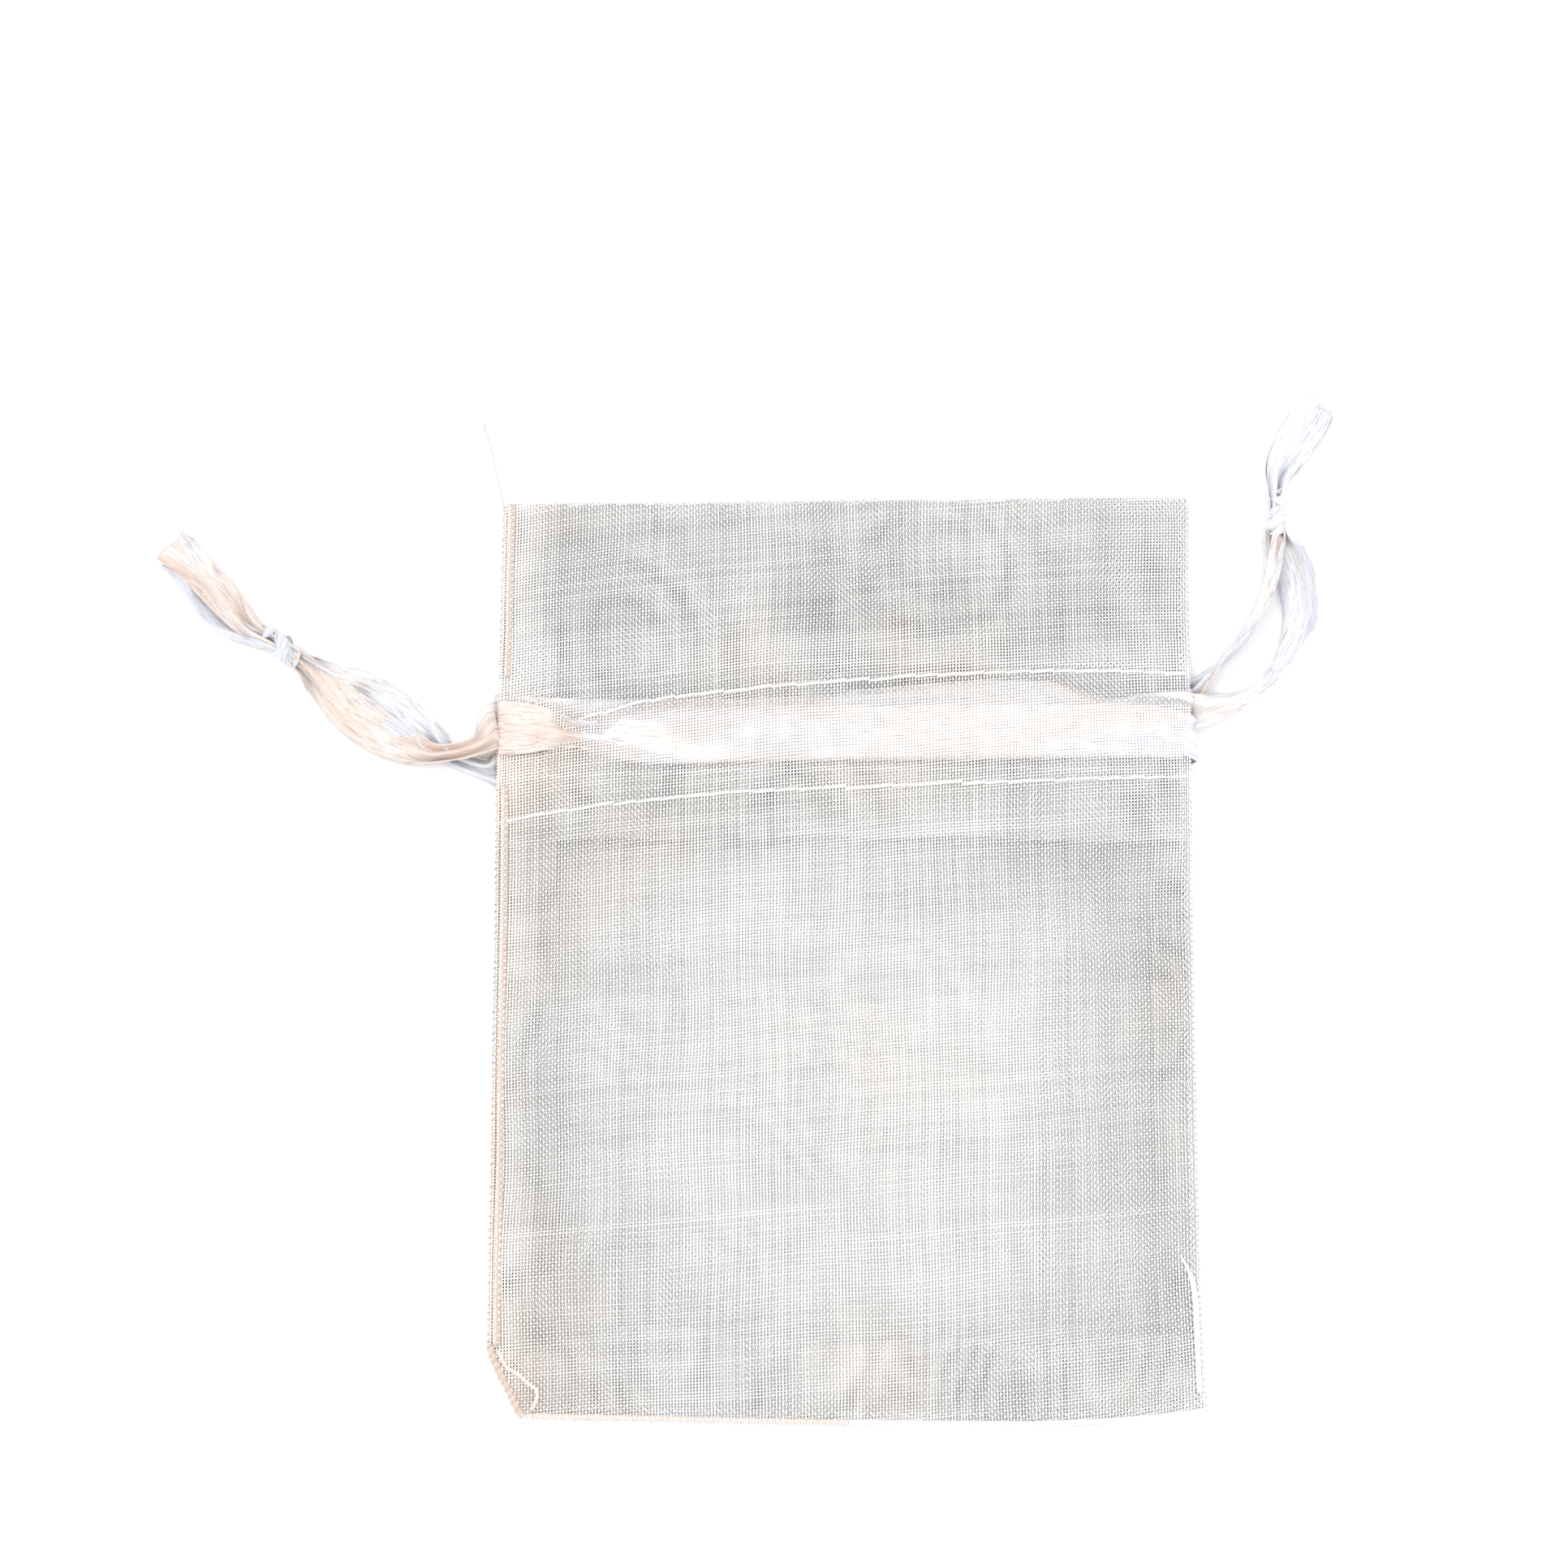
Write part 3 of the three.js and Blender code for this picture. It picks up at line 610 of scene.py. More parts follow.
def satin(name, bias=0.0, level=0.9, left_painted_shade=0.0, slope=-30.0, offset=-0.55, fanned=0.13):
    """White woven ribbon: fine glossy warps that run lengthwise, uneven and broken by small binding points, with
    painted shade on darker warps and binding points and painted highlights on brighter warps; painted rosy and darker
    at the left, painted warm light and shade, and cool at the right, painted cool light.
    """
    m, nt, p = new_material(name)
    tex = node(nt, "ShaderNodeTexCoord")
    uv = node(nt, "ShaderNodeUVMap", uv_map="weave")      # u across, v along, in millimetres

    def mapped_noise(su, sv, scale, detail, rough, warp=0.0):
        mp = node(nt, "ShaderNodeMapping")
        mp.inputs["Scale"].default_value = (su, sv, 1.0)
        nt.links.new(uv.outputs["UV"], mp.inputs["Vector"])
        n = node(nt, "ShaderNodeTexNoise")
        n.inputs["Scale"].default_value = scale
        n.inputs["Detail"].default_value = detail
        n.inputs["Roughness"].default_value = rough
        n.inputs["Distortion"].default_value = warp
        nt.links.new(mp.outputs[0], n.inputs["Vector"])
        return n.outputs["Fac"]

    warps = mapped_noise(4.6, 0.42, 1.0, 2.0, 0.55, 0.25)      # single warps, wandering
    # some warps are painted darker in the shade colour, painted shade between them, and some lighter, painted
    # highlights
    dark_warps = ramp(nt, warps, [(0.36, (1, 1, 1, 1)), (0.47, (0, 0, 0, 1))])
    painted_highlight_warps = ramp(nt, warps, [(0.56, (0, 0, 0, 1)), (0.68, (1, 1, 1, 1))])
    dash = node(nt, "ShaderNodeMapping")
    dash.inputs["Scale"].default_value = (3.1, 1.55, 1.0)
    nt.links.new(uv.outputs["UV"], dash.inputs["Vector"])
    vor = node(nt, "ShaderNodeTexVoronoi", feature="F1", distance="EUCLIDEAN")
    vor.inputs["Scale"].default_value = 1.0
    vor.inputs["Randomness"].default_value = 0.55
    nt.links.new(dash.outputs[0], vor.inputs["Vector"])
    points = ramp(nt, vor.outputs["Distance"], [(0.10, (1, 1, 1, 1)), (0.30, (0, 0, 0, 1))])
    # tint: a random drift, plus painted warm light towards the left and painted cool light towards the right
    pos = node(nt, "ShaderNodeSeparateXYZ")
    nt.links.new(tex.outputs["Object"], pos.inputs[0])
    tint = mapped_noise(0.24, 0.07, 1.0, 2.0, 0.6, 0.4)
    leftness = maths(nt, "MULTIPLY_ADD", pos.outputs["X"], slope, offset, clamp=True)
    rightness = maths(nt, "MULTIPLY_ADD", pos.outputs["X"], 60.0, -2.0, clamp=True)
    tint = maths(nt, "MULTIPLY_ADD", leftness, 0.05 + bias, maths(nt, "MULTIPLY_ADD", maths(nt, "SUBTRACT", tint, 0.5), 0.8, 0.5))
    tint = maths(nt, "SUBTRACT", tint, maths(nt, "MULTIPLY", rightness, 0.07))
    fan = maths(nt, "MULTIPLY_ADD", pos.outputs["X"], -500.0, -14.2, clamp=True)      # the spread end over the left seam is painted rosy and darker: painted warm light and shade
    tint = maths(nt, "MULTIPLY_ADD", fan, fanned, tint)
    body = ramp(nt, tint, [(0.34, rgb((232, 235, 245))), (0.47, rgb((245, 246, 249))), (0.55, rgb((248, 236, 228))), (0.70, rgb((247, 221, 205)))])
    shade = mix_colour(nt, tint, rgb((166, 173, 196)), rgb((190, 162, 152)))
    col = mix_colour(nt, maths(nt, "MULTIPLY", dark_warps, 0.55), body, shade)
    col = mix_colour(nt, maths(nt, "MULTIPLY", points, 0.32), col, shade)
    col = mix_colour(nt, maths(nt, "MULTIPLY", painted_highlight_warps, 0.6), col, rgb((253, 253, 254)))
    # painted shade: darker towards the left, more on the spread end over the left seam
    darker = maths(nt, "MULTIPLY_ADD", leftness, left_painted_shade, 1.0 - level)
    darker = maths(nt, "MULTIPLY_ADD", fan, 0.04, darker)
    col = mix_colour(nt, darker, col, (0, 0, 0, 1))
    nt.links.new(col, p.inputs["Base Color"])
    nt.links.new(maths(nt, "MULTIPLY_ADD", warps, 0.20, 0.24), p.inputs["Roughness"])
    p.inputs["Sheen Weight"].default_value = 0.15
    p.inputs["Specular IOR Level"].default_value = 0.55
    h = maths(nt, "ADD", warps, maths(nt, "MULTIPLY", points, -0.35))
    bump = node(nt, "ShaderNodeBump")
    bump.inputs["Strength"].default_value = 0.5
    bump.inputs["Distance"].default_value = 0.00008
    nt.links.new(h, bump.inputs["Height"])
    nt.links.new(bump.outputs["Normal"], p.inputs["Normal"])
    let_through(nt, p, col, 0.08)
    return m


def thread_material(name, light, dark, rough=0.55):
    """Two-ply sewing thread: the plies wind round each other."""
    m, nt, p = new_material(name)
    uv = node(nt, "ShaderNodeUVMap", uv_map="weave")
    tex = node(nt, "ShaderNodeTexCoord")
    mp = node(nt, "ShaderNodeMapping")
    mp.inputs["Scale"].default_value = (1.0, 1.6, 1.0)
    nt.links.new(uv.outputs["UV"], mp.inputs["Vector"])
    wave = node(nt, "ShaderNodeTexWave", wave_type="BANDS", bands_direction="DIAGONAL")
    wave.inputs["Scale"].default_value = 0.65
    wave.inputs["Distortion"].default_value = 0.6
    nt.links.new(mp.outputs[0], wave.inputs["Vector"])
    cloud = noise(nt, tex.outputs["Object"], 420.0, 2.0, 0.5)
    f = maths(nt, "ADD", maths(nt, "MULTIPLY", wave.outputs["Fac"], 0.55), maths(nt, "MULTIPLY", cloud, 0.45), clamp=True)
    nt.links.new(mix_colour(nt, f, dark, light), p.inputs["Base Color"])
    p.inputs["Roughness"].default_value = rough
    p.inputs["Sheen Weight"].default_value = 0.2
    bump = node(nt, "ShaderNodeBump")
    bump.inputs["Strength"].default_value = 0.6
    bump.inputs["Distance"].default_value = 0.00005
    nt.links.new(wave.outputs["Fac"], bump.inputs["Height"])
    nt.links.new(bump.outputs["Normal"], p.inputs["Normal"])
    return m


def floor_material():
    m, nt, p = new_material("pale_floor")
    tex = node(nt, "ShaderNodeTexCoord")
    n = noise(nt, tex.outputs["Object"], 30.0, 3.0, 0.5)
    nt.links.new(mix_colour(nt, n, rgb((253, 253, 253)), rgb((254, 254, 254))), p.inputs["Base Color"])
    p.inputs["Roughness"].default_value = 0.9
    p.inputs["Specular IOR Level"].default_value = 0.1
    return m


# =====================================================================================
# ribbons
# =====================================================================================
RIBBON = 6.0


def sweep(name_or_soup, centre, side, width, folds=4.0, thick=0.17, across=33, phase=0.0, v0=0.0, full=RIBBON, extra=None,
          floor=0.06, curl=None, drape=None, calm=1.0):
    """A closed flat ribbon along centre (n, 3). side (n, 3) points along its width, width (n,) is how wide it lies; where that is
    less than the ribbon's own width it is creased lengthwise, so that its cloth keeps its width."""
    n = len(centre)
    t = np.gradient(centre, axis=0)
    t /= np.linalg.norm(t, axis=1)[:, None]
    s = side - (side * t).sum(1)[:, None] * t
    s /= np.linalg.norm(s, axis=1)[:, None]
    u = np.cross(s, t)              # s x t
    q = np.linspace(-1, 1, across)
    w = np.clip(width, 0.5, full)
    few = folds * (0.36 + 0.64 * smooth01(0.80, 0.40, w / full)) if folds > 3 else folds + 0 * w
    amp = 0.42 * np.sqrt(np.maximum(full ** 2 - w ** 2, 0)) / few
    ph = np.broadcast_to(np.asarray(phase, float), (n,))
    prof = np.cos(np.pi * few[:, None] * (q[None] + 0.15) / 2 + ph[:, None]) * (1 + 0.25 * np.sin(2.3 * q[None] + 1.7 * ph[:, None]))
    off = (amp * calm)[:, None] * prof
    if curl is not None:
        off = off + np.asarray(curl)[:, None] * (q[None] ** 2 - 0.33)
    if extra is not None:
        off = off + extra(q[None], np.arange(n)[:, None])
    lat = (w / 2)[:, None] * q[None]
    # local normal of the creased section
    dl, do = np.gradient(lat, axis=1), np.gradient(off, axis=1)
    ln = np.sqrt(dl ** 2 + do ** 2) + 1e-9
    nl, no = -do / ln, dl / ln
    h = thick / 2
    def surf(sign):
        return centre[:, None] + s[:, None] * (lat + sign * h * nl)[..., None] + u[:, None] * (off + sign * h * no)[..., None]
    top, bot = surf(1), surf(-1)
    if drape is not None:
        z_of, share = drape
        lift = (z_of(top[..., 0], top[..., 1]) - z_of(centre[:, 0], centre[:, 1])[:, None]) * share[:, None]
        top[..., 2] += lift
        bot[..., 2] += lift
    if floor is not None:
        low = min(float(top[..., 2].min()), float(bot[..., 2].min()))
        # lift whatever would go under the surface, both faces alike
        lowest = np.minimum(top[..., 2].min(1), bot[..., 2].min(1))
        lift = np.maximum(floor - lowest, 0)
        k = np.ones(5) / 5
        lift = np.maximum(lift, np.convolve(np.pad(lift, 2, mode="edge"), k, "valid"))
        top[..., 2] += lift[:, None]; bot[..., 2] += lift[:, None]
    idx_t = np.arange(n * across).reshape(n, across)
    idx_b = idx_t + n * across
    f = []
    # top face normals along +u: s x t = u, so quads go s then t
    f.append(np.stack([idx_t[:-1, :-1], idx_t[:-1, 1:], idx_t[1:, 1:], idx_t[1:, :-1]], -1).reshape(-1, 4))
    f.append(np.stack([idx_b[:-1, :-1], idx_b[1:, :-1], idx_b[1:, 1:], idx_b[:-1, 1:]], -1).reshape(-1, 4))
    f.append(np.stack([idx_t[:-1, 0], idx_t[1:, 0], idx_b[1:, 0], idx_b[:-1, 0]], -1))
    f.append(np.stack([idx_t[:-1, -1], idx_b[:-1, -1], idx_b[1:, -1], idx_t[1:, -1]], -1))
    f.append(np.stack([idx_t[0, :-1], idx_b[0, :-1], idx_b[0, 1:], idx_t[0, 1:]], -1))
    f.append(np.stack([idx_t[-1, :-1], idx_t[-1, 1:], idx_b[-1, 1:], idx_b[-1, :-1]], -1))
    length = v0 + np.concatenate([[0], np.cumsum(np.linalg.norm(np.diff(centre, axis=0), axis=1))])
    uv = np.stack(np.broadcast_arrays(q[None] * full / 2, length[:, None]), -1)
    v = np.concatenate([top.reshape(-1, 3), bot.reshape(-1, 3)])
    uv = np.concatenate([uv.reshape(-1, 2), uv.reshape(-1, 2)])
    if isinstance(name_or_soup, Soup):
        name_or_soup.add(v, np.concatenate(f), uv)
        return None
    return make_mesh(name_or_soup, v, np.concatenate(f), uv)


def flat_side(centre, roll):
    """The direction of a ribbon's width: level where roll is 0, upright where it is 90 degrees."""
    t = np.gradient(centre, axis=0)
    t /= np.linalg.norm(t, axis=1)[:, None]
    s = np.cross(np.array([0.0, 0.0, 1.0]), t)
    s /= np.linalg.norm(s, axis=1)[:, None]
    u = np.cross(t, s)
    r = np.radians(np.asarray(roll, float))[:, None]
    return s * np.cos(r) + u * np.sin(r)


def ribbon_mesh(target, rows, step=0.4, folds=4.0, phase=0.0, v0=0.0, **kw):
    """rows: x, y, z, width, roll."""
    p, at = curve(rows, step)
    c = p[:, :3]
    ph = phase + 0.35 * np.sin(at / 3.1 + phase) if np.isscalar(phase) else phase
    ob = sweep(target, c, flat_side(c, p[:, 4]), p[:, 3], folds=folds, phase=ph, v0=v0, **kw)
    return ob, c


# =====================================================================================
# the camera and the cords come first
# =====================================================================================
make_camera()

# copies of the satin that differ in painted light: the rosy one shows the painted warm light and shade of the left, the
# cool one less of it, and the edge one is warmer and darker, painted shade for the strand that stands on edge
satin_mat = satin("white_ribbon", -0.04, 0.93, 0.10, -110.0, 0.25, 0.10)
rosy_mat = satin("white_ribbon_rosy", -0.08, 0.91, 0.07)
cool_mat = satin("white_ribbon_cool", -0.29, 0.92, 0.07)
shaded_edge_mat = satin("white_ribbon_edge_shaded", 0.20, 0.86, 0.0)

# z of the ribbons inside the channel
def run_z(kind):
    if kind == "left_front":      # out through the channel's open end, over the cloth, from the pinch to the left seam
        return lambda x, y: front_top(x, y) - 0.27 + 0.62 * smooth01(-28.6, -30.4, x)
    if kind == "right_front":
        return lambda x, y: front_top(x, y) - 0.57
    if kind == "left_back":
        return lambda x, y: back_panel_z(x, y) + 0.26
    return lambda x, y: back_panel_z(x, y) + 0.50


def run_rows(pairs, z_of):
    """pairs of (x, y, width) inside the channel become rows with the channel's height."""
    xs = np.array([p[0] for p in pairs], float)
    n = int(abs(xs[-1] - xs[0]) / 2.0) + 1
    at = np.linspace(xs[0], xs[-1], n)
    order = np.argsort(xs)
    y = np.interp(at, xs[order], np.array([p[1] for p in pairs])[order])
    w = np.interp(at, xs[order], np.array([p[2] for p in pairs])[order])
    k = np.array([0.25, 0.5, 0.25])
    y = np.convolve(np.pad(y, 1, mode="edge"), k, "valid")
    w = np.convolve(np.pad(w, 1, mode="edge"), k, "valid")
    return [[a, b, float(z_of(np.array(a), np.array(b))), c, 0.0] for a, b, c in zip(at, y, w)]


def drawstring(side, free_a, front, turn, back, free_b, folds, seed):
    """One whole ribbon: tail and strand at the front, front run, closed end round the far seam, back run, strand and tail at the back.
    It is one continuous strip, cut where it leaves the channel, because the free ends are cords."""
    rows = np.array(free_a + front + turn + back + free_b, float)
    marks = np.cumsum([len(free_a), len(front), len(turn), len(back)])
    step = 0.36
    p, at = curve(rows, step)
    # where the control rows fall along the curve
    def nearest(row):
        return int(np.argmin(np.linalg.norm(p[:, :3] - rows[row, :3], axis=1)))
    i_front, i_back = nearest(marks[0]), nearest(marks[3] - 1)
    i_turn0, i_turn1 = nearest(marks[1]) - 2, nearest(marks[2]) + 2
    c = p[:, :3].copy()
    t = np.gradient(c, axis=0)
    t /= np.linalg.norm(t, axis=1)[:, None]
    hz = t.copy(); hz[:, 2] = 0
    hz /= np.linalg.norm(hz, axis=1)[:, None] + 1e-9
    s = np.cross(np.array([0.0, 0.0, 1.0]), hz)
    mid = (i_turn0 + i_turn1) // 2
    s[mid:] *= -1
    y_dir = np.array([0.0, 1.0 if side < 0 else -1.0, 0.0])
    s[i_turn0 - 3:i_turn1 + 3] = y_dir
    at_exit = np.exp(-((c[:, 0] * side - 38.0) / 1.3) ** 2)[:, None]      # across its own seam it spreads along the seam
    s = s * (1 - at_exit) + np.sign(s[:, 1:2]) * np.array([[0.0, 1.0, 0.0]]) * at_exit
    for _ in range(4):
        s[1:-1] = (s[:-2] + s[1:-1] * 2 + s[2:]) / 4
    u = np.cross(t, s)
    sign = np.ones(len(c)); sign[mid:] = -1
    up = u * np.where(u[:, 2] >= 0, 1, -1)[:, None]
    r = np.radians(p[:, 4])[:, None]
    s = s * np.cos(r) + up * np.sin(r)
    phase = 0.9 * lumps(at, at * 0, seed, 16.0) + seed
    along = np.arange(len(c))
    calm = 1 - 0.8 * np.exp(-((along - mid) / 16.0) ** 2)          # the closed end lies flat round the seam
    within = smooth01(38.0, 36.0, np.abs(c[:, 0]))                 # inside the channel
    calm = calm * (1 - 0.55 * within * smooth01(3.5, 5.0, p[:, 3]))
    calm = calm * (1 - 0.45 * np.exp(-((np.abs(c[:, 0]) - 41.0) / 2.8) ** 2))
    free_part = smooth01(38.5, 45.0, np.abs(c[:, 0]))              # the loose ends are only softly creased
    calm = calm * (1 - 0.45 * free_part * smooth01(2.6, 4.2, p[:, 3]))
    front_run = (along < mid)
    drape_z = lambda x, y: front_top(x, y)
    back_z = lambda x, y: back_panel_z(x, y)
    creases = lambda q, i: 0.035 * np.sin(7.0 * q + 0.11 * i + seed) * np.cos(0.05 * i)
    out = []
    for name, a, b, free in (
        (("left" if side < 0 else "right") + "_ribbon_front_end", 0, i_front, True),
        (("left" if side < 0 else "right") + "_ribbon_loop_satin", i_front, i_back, False),
        (("left" if side < 0 else "right") + "_ribbon_back_end", i_back, len(c) - 1, True),
    ):
        sl = slice(a, b + 1)
        ob = sweep(name, c[sl], s[sl], p[sl, 3], folds=folds, phase=phase[sl], v0=at[a], extra=lambda q, i, a=a: creases(q, i + a),
                   calm=calm[sl], drape=(drape_z, (within * front_run)[sl]) if not free else None)
        first, last = (rosy_mat, cool_mat) if side < 0 else (cool_mat, shaded_edge_mat)
        ob.data.materials.append(first if "front_end" in name else last if "back_end" in name else satin_mat)
        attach(ob, "left_drawstring" if side < 0 else "right_drawstring")
        out.append((ob, c[sl]))
    return out


def knot(name, centre, direction, side, seed, size=1.0):
    """An overhand knot of the two strands: a broad creased band wound slantwise round them, crossed by the end that is tucked under it."""
    e1 = np.array([direction[0], direction[1], 0.0]); e1 /= np.linalg.norm(e1)
    e2 = np.cross(np.array([0.0, 0.0, 1.0]), e1)
    e3 = np.array([0.0, 0.0, 1.0])
    soup = Soup()
    for layer_, (start, turns, ra, rb, width, shift, along) in enumerate((
        (-0.9, 1.00, 0.92, 0.84, 3.1, -0.80, 2.9),
        (1.7, 0.75, 1.08, 0.98, 3.0, 0.80, -2.6),
        (-2.2, 0.60, 1.00, 0.90, 2.4, -1.35, 1.1),
    )):
        n = int(52 * turns) + 10
        q = np.linspace(0, 1, n)
        a = start + q * turns * 2 * np.pi
        tuck = np.minimum(1, np.minimum(q, 1 - q) / 0.18)
        k = 0.38 + 0.62 * np.sin(np.pi / 2 * tuck)
        wob = 1 + 0.08 * np.sin(2 * a + seed)
        c = (np.array(centre)[None]
             + size * e1[None] * (shift + along * (q - 0.5) + 0.14 * np.sin(2 * a + seed))[:, None]
             + size * e2[None] * (ra * k * wob * np.cos(a))[:, None]
             + e3[None] * (rb * k * np.sin(a))[:, None])
        t = np.gradient(c, axis=0); t /= np.linalg.norm(t, axis=1)[:, None]
        s = np.repeat(e1[None], n, 0) + 0.35 * np.sign(along) * t
        w = size * width * (0.5 + 0.5 * tuck) * (1 + 0.10 * np.sin(1.5 * a + seed * 2))
        sweep(soup, c, s, w, folds=2.2, thick=0.16, across=25, phase=seed + 0.7 * np.sin(a) + layer_, full=3.5, v0=7.0 * layer_)
    ob = soup.object(name)
    ob.data.materials.append(cool_mat)
    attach(ob, "left_drawstring" if side < 0 else "right_drawstring")
    return ob


LEFT_FREE_A = [
    [-75.0, 45.0, 1.3, 4.3, 6], [-73.5, 43.7, 1.4, 4.2, 10], [-71.8, 42.0, 1.4, 3.9, 12], [-70.0, 40.1, 1.4, 3.7, 10],
    [-68.3, 38.2, 1.3, 3.6, 5], [-66.8, 36.5, 1.3, 3.0, 0], [-65.3, 35.1, 1.5, 2.2, 0], [-63.8, 34.2, 1.6, 1.7, 0],
    [-61.6, 32.8, 1.6, 1.7, 0], [-60.0, 31.5, 1.5, 2.2, 0], [-58.2, 29.7, 1.3, 3.3, 4], [-56.2, 27.6, 1.2, 4.3, 6],
    [-54.0, 25.7, 1.1, 4.8, 6], [-51.2, 23.8, 1.1, 4.8, 2], [-48.4, 22.4, 1.1, 4.1, -6], [-46.0, 21.3, 1.2, 2.7, -10],
    [-43.9, 21.2, 1.4, 2.1, -8], [-42.0, 21.5, 1.7, 2.0, 0], [-40.6, 21.9, 1.95, 2.2, 0], [-39.5, 22.5, 2.25, 2.9, 0],
    [-38.75, 23.4, 2.5, 4.6, 0],
]
LEFT_FRONT = run_rows([(-38.1, 23.9, 6.0), (-36, 23.8, 6.0), (-33.5, 23.6, 5.5), (-31.4, 23.2, 4.2), (-29.3, 22.7, 1.7), (-27.4, 22.6, 3.1),
                       (-25, 22.3, 4.5), (-22, 22.25, 5.6), (-18, 22.1, 5.85), (-14, 22.2, 5.85), (-5, 22.4, 5.95), (5, 22.5, 6.0),
                       (14, 22.6, 6.0), (22, 22.8, 6.0), (30, 23.2, 6.0), (35, 23.3, 5.8), (37.6, 22.8, 5.0)], run_z("left_front"))
LEFT_TURN = [[38.25, 22.5, 1.75, 4.4, 0], [38.65, 22.3, 1.15, 4.2, 0], [38.25, 22.3, 0.55, 4.4, 0]]
LEFT_BACK = run_rows([(37.6, 22.3, 4.6), (30, 22.2, 5.8), (0, 21.9, 6.0), (-25, 21.4, 5.8), (-33, 20.6, 5.0), (-38.3, 19.6, 3.4)], run_z("left_back"))
LEFT_FREE_B = [
    [-39.6, 19.7, 0.5, 2.3, 6], [-41.4, 20.3, 0.5, 2.1, 10], [-43.4, 21.3, 0.5, 2.3, 8], [-45.4, 22.8, 0.5, 3.4, 4],
    [-47.8, 24.6, 0.5, 4.4, 0], [-50.4, 26.5, 0.6, 4.9, 0], [-53.2, 28.1, 0.65, 4.8, 0], [-56.0, 29.5, 0.7, 3.9, 0],
    [-58.4, 30.9, 0.8, 2.7, 0], [-60.3, 31.9, 1.1, 2.0, 0], [-62.2, 33.1, 1.25, 1.7, 0], [-64.4, 34.3, 1.2, 2.0, 0],
    [-66.2, 35.1, 0.8, 2.6, 0], [-68.2, 36.3, 0.55, 3.4, 0], [-70.0, 38.2, 0.5, 3.9, 0], [-71.5, 40.3, 0.5, 3.9, 0],
    [-73.1, 42.3, 0.5, 4.0, 0], [-74.6, 43.9, 0.55, 4.0, 0],
]
RIGHT_FREE_A = [
    [53.6, 61.3, 0.9, 4.4, 0], [52.3, 59.1, 1.0, 4.6, 8], [51.0, 57.0, 1.05, 4.4, 0], [49.6, 54.8, 1.0, 3.5, -12],
    [48.7, 52.6, 1.2, 2.6, 0], [48.4, 50.8, 1.5, 1.9, 0], [48.2, 49.2, 1.6, 1.6, 0], [48.3, 47.4, 1.6, 1.7, 0],
    [48.9, 45.6, 1.5, 2.6, 28], [49.5, 43.6, 1.7, 4.2, 46], [50.1, 41.4, 2.0, 4.9, 50], [50.5, 39.2, 2.1, 5.0, 50],
    [50.7, 37.0, 2.1, 4.9, 54], [50.2, 34.8, 2.1, 4.6, 60], [49.1, 32.6, 2.0, 4.2, 66], [47.8, 30.5, 1.9, 3.9, 66],
    [46.4, 28.9, 1.8, 3.8, 58], [44.8, 27.7, 1.7, 3.6, 46], [42.9, 26.9, 1.7, 3.5, 34], [40.9, 26.3, 1.8, 3.5, 16],
    [39.5, 25.9, 1.87, 3.7, 0],
]
RIGHT_FRONT = run_rows([(38.3, 25.8, 3.9), (36, 25.6, 4.4), (33, 24.9, 5.0), (30, 24.0, 5.6), (27.5, 23.7, 5.8), (25, 24.8, 6.0), (22.4, 25.6, 6.0),
                        (15, 25.5, 6.0), (8, 25.0, 6.0), (2, 24.3, 6.0), (-2, 23.6, 5.9), (-10, 23.4, 5.9), (-20, 23.6, 5.8), (-30, 24.3, 5.0),
                        (-35, 25.3, 3.8), (-37.6, 26.2, 3.0)], run_z("right_front"))
RIGHT_TURN = [[-38.25, 26.3, 1.5, 3.1, 0], [-38.65, 26.3, 1.08, 3.0, 0], [-38.25, 26.2, 0.65, 3.2, 0]]
RIGHT_BACK = run_rows([(-37.6, 26.0, 4.0), (-30, 25.4, 5.6), (-10, 25.2, 6.0), (20, 25.8, 6.0), (33, 27.0, 4.6), (38.3, 28.3, 2.6)], run_z("right_back"))
RIGHT_FREE_B = [
    [39.3, 28.7, 0.9, 2.2, 40], [40.8, 30.4, 1.4, 2.8, 80], [42.5, 32.3, 1.7, 3.2, 88], [44.2, 34.3, 1.8, 3.3, 88],
    [45.5, 36.5, 1.8, 3.4, 88], [46.6, 38.9, 1.8, 3.4, 86], [47.4, 41.3, 1.7, 3.2, 80], [47.8, 43.5, 1.6, 2.7, 66],
    [47.9, 45.3, 1.5, 2.8, 38], [48.0, 47.2, 1.3, 1.7, 8], [48.2, 49.2, 1.3, 1.6, 0], [48.3, 51.0, 0.9, 2.2, 0],
    [48.7, 53.0, 0.55, 3.2, 0], [49.8, 55.2, 0.45, 4.2, 5], [51.2, 57.5, 0.4, 4.5, 0], [52.4, 59.4, 0.4, 4.5, 0],
    [53.1, 60.7, 0.4, 4.2, 0],
]

for side, word, parts, at_, dirn in (
    (-1, "left", (LEFT_FREE_A, LEFT_FRONT, LEFT_TURN, LEFT_BACK, LEFT_FREE_B), (-62.4, 33.4, 1.44), (-4.4, 2.9)),
    (1, "right", (RIGHT_FREE_A, RIGHT_FRONT, RIGHT_TURN, RIGHT_BACK, RIGHT_FREE_B), (48.15, 48.2, 1.44), (-0.1, 4.0)),
):
    made = drawstring(side, *parts, folds=4.0, seed=3 if side < 0 else 5)
    (fa, ca), (loop, cl), (fb, cb) = made
    kn = knot(word + "_knot_satin", at_, dirn, side, 1.0 if side < 0 else 2.2, 1.0 if side < 0 else 0.86)
    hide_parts(word + "_ribbon_front_strand", word + "_tail_front")
    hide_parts(word + "_ribbon_back_strand", word + "_tail_back")
    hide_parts(word + "_ribbon_loop")
    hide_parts(word + "_knot")

